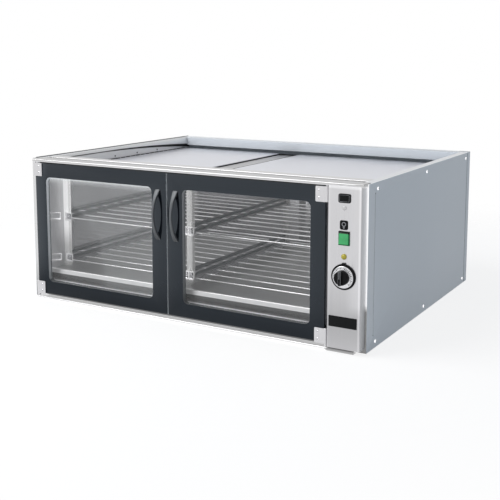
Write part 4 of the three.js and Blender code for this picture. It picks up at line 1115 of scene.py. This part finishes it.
class MakeControls(bpy.types.Operator):
    """Control column: fascia, display, lamps, rocker, thermostat, plates"""

    bl_idname = "proofer.controls"
    bl_label = "Control column"

    def execute(self, context):
        fascia = Piece("fascia_box")
        # The right side faces take a darker copy of the fascia's finish: painted shade
        side = ("fascia_side", lambda place, normal: normal.x > 0.8 and place.x > 1020)
        fascia.copy_of("control_fascia", "fascia", 0.6, 3, patches=[side])
        fascia.done(ROOT, ["control_fascia"], smooth=50)
        self.display()
        self.lamps()
        self.rocker()
        self.thermostat()
        self.plates()
        return {"FINISHED"}

    def display(self):
        piece = Piece("display_unit")
        xs, zs = around(CONTROL_X, 30), around(368, 21)
        outer, inner, bright = (
            rounded_path(shrunk(xs, by), shrunk(zs, by), radius)
            for by, radius in ((0, 4), (2.6, 2), (3.2, 1.6))
        )
        piece.ring("Y", outer, inner, (ON_FASCIA - 2, ON_FASCIA), "black", 0.4)
        piece.ring("Y", inner, bright, (ON_FASCIA - 1.5, ON_FASCIA - 1.0), "label", 0.1)
        piece.block(shrunk(xs, 2.4), (ON_FASCIA - 1.2, ON_FASCIA + 16), shrunk(zs, 2.4), "screen")
        piece.done(ROOT, ["display_window"])

    def lamps(self):
        """A clear pilot lens and a yellow dome, each in its collar."""
        lens = Piece("pilot_lens_glass")
        centre = (CONTROL_X, ON_FASCIA, 345)
        collar = [(0, -14), (3, -14), (3, 0), (4.5, 0), (4.5, 0.9), (4.2, 1.2)]
        lens.turned(collar, centre, "-Y", "screw", 28)
        lens.turned(domed(4.0, 0.9, 1.0), centre, "-Y", "lens", 28)
        lens.done(ROOT, ["pilot_lens"])
        lamp = Piece("indicator_lamp_dome")
        centre = (CONTROL_X, ON_FASCIA, 232)
        collar = [(0, -20), (4.5, -20), (4.5, 0), (6.6, 0), (6.6, 0.8), (6.2, 1.1)]
        for profile in (collar, domed(6.0, 0.6, 3.2)):
            lamp.turned(profile, centre, "-Y", "yellow", 32)
        lamp.done(ROOT, ["indicator_lamp"])

    def rocker(self):
        surround = Piece("rocker_surround")
        surround.copy_of("rocker_frame", "surround", 0.4, 3)
        surround.done(ROOT, ["rocker_frame"])
        button = Piece("rocker_cap")
        button.copy_of("rocker_button", "green", 0.8, 3)
        button.done("rocker", ["rocker_button"])

    def thermostat(self):
        centre = (CONTROL_X, ON_FASCIA, DIAL_HEIGHT)
        bezel = Piece("thermostat_ring")
        profile = [
            (8, 0), (30.5, 0), (30.5, 2.2), (29.9, 3.0), (28.9, 3.4), (27.6, 3.4), (27.2, 3.0), (8, 3.0),
            (8, 0),
        ]
        bezel.turned(profile, centre, "-Y", "black", 64)
        bezel.block(around(CONTROL_X, 7), (ON_FASCIA - 3.4, ON_FASCIA), (212.5, 218), "black", "Y", 1)
        bezel.done(ROOT, ["thermostat_bezel"])
        knob = Piece("thermostat_dial")
        foot = 3.7
        skirt = [(3.4, 0), (26, 0), (26, 1.4), (25.2, 2.2), (18, 2.8), (18, 4), (3.4, 4), (3.4, 0)]
        body = [
            (3.4, 3.6), (17.5, 3.6), (17.4, 6), (16.9, 14.5), (15.9, 15.8), (14.5, 16.2), (0, 16.2),
            (0, 14.4), (3.4, 14.4), (3.4, 3.6),
        ]
        for profile, kind, steps in ((skirt, "dial", 64), (body, "black", 48)):
            knob.turned([(radius, foot + rise) for radius, rise in profile], centre, "-Y", kind, steps)
        grip = [
            (-4.2, 16.2), (-2.8, 17.6), (2.8, 17.6), (4.2, 16.2), (3.6, -15.4), (2.6, -16.4), (-2.6, -16.4),
            (-3.6, -15.4),
        ]
        path = [(CONTROL_X + x, DIAL_HEIGHT + z) for x, z in grip]
        # The grip's rounded front edges take a lighter grey: a painted highlight
        edge = (
            "grip_highlight", lambda place, normal: normal.y < -0.15 and math.hypot(normal.x, normal.z) > 0.3,
        )
        back = ON_FASCIA - foot
        knob.prism("Y", path, (back - 22, back - 14), "black", 1.1, patches=[edge])
        knob.block(around(CONTROL_X, 1.3), (back - 22.25, back - 21), (184, 200), "label", edge=0.1)
        ticks, sweep = 28, 270
        for step in range(ticks):
            angle = math.radians(sweep * step / (ticks - 1) - sweep / 2)
            inner, wide = (21, 0.8) if step % 3 else (19.6, 1.3)
            tick(knob, centre, angle, inner, 24.4, foot + 2.45, wide)
        knob.done("knob", ["thermostat_knob"])

    def plates(self):
        back = FASCIA_FRONT
        thick = (back - 0.9, back + 0.02)
        label = Piece("lamp_symbol_label")
        label.block(around(LABEL_X, 20.2), thick, around(306, 22), "black", "Y", 4, 0.25)
        ring = [(3.8, 0.85), (5.2, 0.85), (5.2, 1.05), (3.8, 1.05), (3.8, 0.85)]
        label.turned(ring, (LABEL_X, back, 308), "-Y", "label", 28)
        raised = (back - 1.05, back - 0.85)
        for z, wide in ((301.8, 5.2), (299.9, 5.2), (298.2, 3)):
            label.block(around(LABEL_X, wide), raised, around(z, 0.9), "label", edge=0.08)
        label.done(ROOT)
        plate = Piece("lower_cover_plate")
        plate.block(around(COVER_X, 71.5), thick, around(76, 26), "black", "Y", 1.2, 0.25)
        face = (back - 1.1, back - 0.85)
        plate.block(around(COVER_X, 68), face, around(76, 22.5), "screen", "Y", 0.8, 0.08)
        plate.done(ROOT)


def tick(piece, centre, angle, inner, outer, height, wide):
    """A short raised bar on the dial, pointing away from its centre."""
    bm = bmesh.new()
    matrix = Matrix.Translation(spot(*centre)) @ Matrix.Rotation(angle, 4, "Y")
    size = Matrix.Diagonal((wide * MM, 0.5 * MM, (outer - inner) * MM, 1))
    shift = Matrix.Translation(Vector((0, -height - 0.1, (outer + inner) / 2)) * MM)
    bmesh.ops.create_cube(bm, size=1, matrix=matrix @ shift @ size)
    piece.take(bm, "mark")


class MakeChamber(bpy.types.Operator):
    """Inside: posts, slides, racks, deck and what sits under it"""

    bl_idname = "proofer.chamber"
    bl_label = "Chamber"

    def execute(self, context):
        for side in ("left_wall", "right_wall", "back_wall", "ceiling", "floor"):
            node = "chamber_" + side
            piece = Piece(node + "_sheet")
            piece.copy_of(node, "wall", 0.2, 1)
            piece.done(ROOT, [node])
        self.deck()
        self.posts()
        for shelf in SHELVES:
            self.slides(*shelf)
        for name, left, right, level, _ in SHELVES:
            self.rack(name + "_rack", shrunk((left, right), POST_HALF + 0.5), level + SEAT + BAR_RADIUS)
        self.fittings()
        return {"FINISHED"}

    def deck(self):
        piece = Piece("deck_sheet")
        path = [(692, 52.8), (692, 76), (34, 76), (15, 85.5), (8, 85.5), (8, 52.8)]
        piece.folded("X", path, (36, 924), LINER, "deck", 3, segments=6)
        piece.done(ROOT, ["deck_plate"])

    def posts(self):
        pitch = sizes().slot_pitch
        for side, x in POSTS.items():
            kind = "left_post" if side == "left" else "post"
            for end, web, way in (("front", 84, 1), ("rear", 648, -1)):
                piece = Piece(f"{side}_{end}_slotted_post")
                self.post(piece, x, web, way, pitch, kind)
                piece.done(ROOT, [f"{side}_{end}_post"])

    def post(self, piece, x, web, way, pitch, kind):
        """A channel whose two flanges are punched with a row of slots."""
        height = POST_TOP - POST_BOTTOM
        path = [(x - POST_HALF, web + way * deep) for deep in POST_DEPTHS]
        path += [(x + POST_HALF, web + way * deep) for deep in reversed(POST_DEPTHS)]
        if way < 0:
            path = path[::-1]
        count = int((height - 12) / pitch)
        steps = [(height - count * pitch) / 2 + pitch * 0.35] + [pitch * 0.3, pitch * 0.7] * count
        steps.append(height - sum(steps))
        bm = bmesh.new()
        edges = strung(bm, outline("Z", path, POST_BOTTOM))[1]
        punched = []
        for number, rise in enumerate(steps):
            out = bmesh.ops.extrude_edge_only(bm, edges=edges)
            draw_out(bm, out, "Z", rise)
            edges = of_kind(out, bmesh.types.BMEdge)
            if number % 2:
                faces = of_kind(out, bmesh.types.BMFace)
                punched += [face for face in faces if self.in_slot(face, x, web, way)]
        bmesh.ops.delete(bm, geom=punched, context="FACES")
        thicken(bm, "Z", path, LINER)
        piece.take(bm, kind)

    def in_slot(self, face, x, web, way):
        middle = face.calc_center_median() - CORNER
        on_flange = abs(abs(middle.x / MM - x) - POST_HALF) < 0.1
        return on_flange and POST_DEPTHS[2] < way * (middle.y / MM - web) < POST_DEPTHS[1]

    def slides(self, name, left, right, level, rise):
        """Both slides of one shelf, each with its clip; the left one also hangs on a hook."""
        lip, clip = (7.5, (-1, 23)) if left == POSTS["left"] else (8.5, (-2, 14))
        for hand, x, way, reach in (("left", left, 1, clip), ("right", right, -1, (-20, -3))):
            piece = Piece(f"{name}_slide_{hand}_angle")
            self.slide(piece, x, level, way, rise, lip)
            self.clip(piece, (x + reach[0], x + reach[1]), level + rise)
            if hand == "left":
                self.hook(piece, x - 10.4, level + rise)
            piece.done(ROOT, [f"{name}_slide_{hand}"])

    def slide(self, piece, x, level, way, rise, lip):
        """An angle in painted shade: dark along its upper lip and its fold, bright between them."""
        web = x + way * 1.5
        low, high = level - LINER, level + 28 + rise
        parts = (
            ([(web, high), (web, high - lip)], "fold"),
            ([(web, high - lip), (web, level + 14 + rise)], "web"),
            ([(web, level + 14 + rise), (web, level + 5 + rise)], "fold"),
            ([(web, level + 5 + rise), (web, low), (web + way * 17.5, low)], "web"),
        )
        for path, kind in parts:
            piece.folded("Y", path if way > 0 else path[::-1], SLIDE_SPAN, LINER, kind, 1.8)
        piece.block(sorted((web, web + way * 3)), SLIDE_SPAN, (high - LINER, high), "fold", edge=0.2)

    def clip(self, piece, xs, low):
        """The slide's end on the front of its post: a bright rim in painted light round a darker pocket."""
        zs = (low - 1, low + 23)
        outer = rounded_path(xs, zs, 1.6, 3)
        inner = rounded_path((xs[0] + 2, xs[1] - 1.2), (zs[0] + 4.4, zs[1] - 2.2), 0.6, 3)
        piece.ring("Y", outer, inner, (80.2, 83.7), "clip", 0.3)
        piece.block((xs[0] + 2, xs[1] - 2), (82.6, 83.6), (zs[0] + 4, zs[1] - 2), "web", edge=0.05)

    def hook(self, piece, x, low):
        """The two bars by which the slide hangs on the wall, in front of its post, and what joins them."""
        for at, thick in ((27, 2.4), (10.5, 4.6)):
            wall_end, post_end = low + at + 4, low + at - 3
            path = [(22, wall_end), (70, post_end), (70, post_end - thick), (22, wall_end - thick)]
            piece.prism("X", path, (x, x + 2.2), "clip", 0.5)
        piece.block((x, x + 2.2), (67.4, 70), (low + 6, low + 24), "clip", edge=0.4)

    def rack(self, node, sides, z):
        """Two side bars, and the wires that lie across them."""
        piece = Piece(node + "_wires")
        for x in shrunk(sides, BAR_RADIUS):
            piece.rod(BAR_RADIUS, (x, 0, z), "Y", BAR_SPAN, "bar", 14)
        for number in range(WIRE_COUNT):
            centre = (0, FIRST_WIRE + WIRE_PITCH * number, z + 1.6)
            piece.rod(WIRE_RADIUS, centre, "X", shrunk(sides, 1.5), "wire", 12)
        piece.done(ROOT, [node])

    def fittings(self):
        for node, kind, slot, width in (
            ("water_pan", "steel_x", "stainless", 0.3),
            ("heating_element", "element", "element", 0),
            ("sensor_bulb", "screw", "stainless", 0.3),
            ("terminal_block", "pale", "pale_plastic", 0.4),
            ("thermostat_body", "pale", "pale_plastic", 0.5),
            ("cable_gland", "black", "black_plastic", 0.5),
        ):
            piece = Piece(node + "_detail")
            piece.copy_of(node, kind, width)
            piece.done(ROOT, [node], smooth=50)
        lamp = Piece("interior_lamp_glass")
        wall = (925.7, 350, 300)
        lamp.turned([(0, 0), (26, 0), (26, 3.4), (25, 4.6), (21.4, 5)], wall, "-X", "pale", 48)
        ridged, smooth = (quarter(21 + ridge, 5, 14.6 + ridge, 12) for ridge in (0.35, 0))
        dome = [pair[number % 2] for number, pair in enumerate(zip(ridged, smooth))]
        lamp.turned([(0, 4.6), (21.2, 4.6), *dome, (0, 19.8)], wall, "-X", "lens", 48)
        lamp.done(ROOT, ["interior_lamp"])


class MakeStage(bpy.types.Operator):
    """Pale floor, white surroundings, a soft lamp and the camera"""

    bl_idname = "proofer.stage"
    bl_label = "Stage"

    def execute(self, context):
        self.floor()
        context.scene.world = self.world()
        self.lamp(context.scene)
        self.camera(context.scene)
        context.scene.view_settings.view_transform = "Standard"
        return {"FINISHED"}

    def floor(self):
        bm = bmesh.new()
        bmesh.ops.create_grid(bm, x_segments=2, y_segments=2, size=30)
        mesh = bpy.data.meshes.new("Studio floor")
        bm.to_mesh(mesh)
        bm.free()
        made = bpy.data.objects.new("Studio floor", mesh)
        made.location.z = FLOOR_DROP
        bpy.context.scene.collection.objects.link(made)
        mesh.materials.append(self.pale())

    def pale(self):
        """Nearly white where it is seen, without that glow as a source of light; it fades out all round."""
        recipe = Recipe("Studio floor")
        camera, glossy, through = recipe.rays("Camera", "Glossy", "Transmission")
        seen = recipe.math("MAXIMUM", recipe.math("MAXIMUM", camera, glossy), through)
        colour = recipe.mix(seen, (0.6, 0.6, 0.605, 1), (0.26, 0.26, 0.262, 1))
        base = recipe.principled({"Base Color": colour, "Roughness": 1.0, "Specular IOR Level": 0.0})
        glow = recipe.node("ShaderNodeEmission", None, {"Color": WHITE, "Strength": seen * 0.79})
        lit = recipe.node("ShaderNodeAddShader", None, {0: base, 1: glow})
        reach = recipe.node("ShaderNodeVectorMath", {"operation": "LENGTH"}, {0: recipe.place}, out="Value")
        fade = recipe.ranged(reach, *FLOOR_FADE, fade="SMOOTHSTEP")
        return recipe.finish(recipe.blend(fade, lit, recipe.node("ShaderNodeBsdfTransparent")))

    def world(self):
        """White where it is seen; dimmer and cooler as light, and dimmer to the right and the rear."""
        recipe = Recipe("Studio", "worlds", "Generated")
        camera, glossy, through = recipe.rays("Camera", "Glossy", "Transmission")
        right_rear = Vector((0.85, 0.5, 0)).normalized()
        towards = {0: recipe.place, 1: right_rear}
        side = recipe.node("ShaderNodeVectorMath", {"operation": "DOT_PRODUCT"}, towards, out="Value")
        mirrored = recipe.ranged(side, 0.1, 0.95, 1.0, 0.55)
        light = recipe.mix(glossy, (0.385, 0.405, 0.43, 1), mirrored)
        colour = recipe.mix(recipe.math("MAXIMUM", camera, through), light, WHITE)
        glow = recipe.node("ShaderNodeBackground", None, {"Color": colour, "Strength": 1.0})
        return recipe.finish(glow, "World")

    def lamp(self, scene):
        data = bpy.data.lights.new("Key lamp", "AREA")
        data.shape = "DISK"
        data.size = LAMP_WIDTH
        data.energy = LAMP_POWER
        made = bpy.data.objects.new("Key lamp", data)
        made.location = LAMP_PLACE
        made.rotation_mode = "QUATERNION"
        made.rotation_quaternion = (LAMP_AIM - LAMP_PLACE).to_track_quat("-Z", "Y")
        scene.collection.objects.link(made)

    def camera(self, scene):
        data = bpy.data.cameras.new("Camera")
        data.sensor_width = 36
        data.lens = CAMERA_LENS
        data.shift_y = CAMERA_SHIFT
        data.clip_start = 0.05
        data.clip_end = 80
        made = bpy.data.objects.new("Camera", data)
        made.location = spot(*CAMERA_PLACE)
        made.rotation_euler = (math.radians(90 - CAMERA_DOWN), 0, math.radians(CAMERA_TURN))
        scene.collection.objects.link(made)
        scene.camera = made


class ProoferPanel(bpy.types.Panel):
    """Sizes, colours and the steps that build the cabinet"""

    bl_idname = "VIEW3D_PT_proofer"
    bl_label = "Proofing cabinet"
    bl_space_type = "VIEW_3D"
    bl_region_type = "UI"
    bl_category = "Proofer"

    def draw(self, context):
        for group in (context.scene.proofer_sizes, context.scene.proofer_colours):
            box = self.layout.box()
            for name in group.__annotations__:
                box.prop(group, name)
        for operator in OPERATORS:
            self.layout.operator(operator.bl_idname)


OPERATORS = (MakeFinishes, MakeCarcass, MakeDoors, MakeControls, MakeChamber, MakeStage)
CLASSES = (ProoferSizes, ProoferColours, *OPERATORS, ProoferPanel)


def register():
    for cls in CLASSES:
        bpy.utils.register_class(cls)
    bpy.types.Scene.proofer_sizes = bpy.props.PointerProperty(type=ProoferSizes)
    bpy.types.Scene.proofer_colours = bpy.props.PointerProperty(type=ProoferColours)


def unregister():
    del bpy.types.Scene.proofer_colours
    del bpy.types.Scene.proofer_sizes
    for cls in reversed(CLASSES):
        bpy.utils.unregister_class(cls)


def main():
    register()
    bpy.ops.proofer.finishes()
    bpy.ops.proofer.carcass()
    bpy.ops.proofer.doors()
    bpy.ops.proofer.controls()
    bpy.ops.proofer.chamber()
    bpy.ops.proofer.stage()


if __name__ == "__main__":
    main()
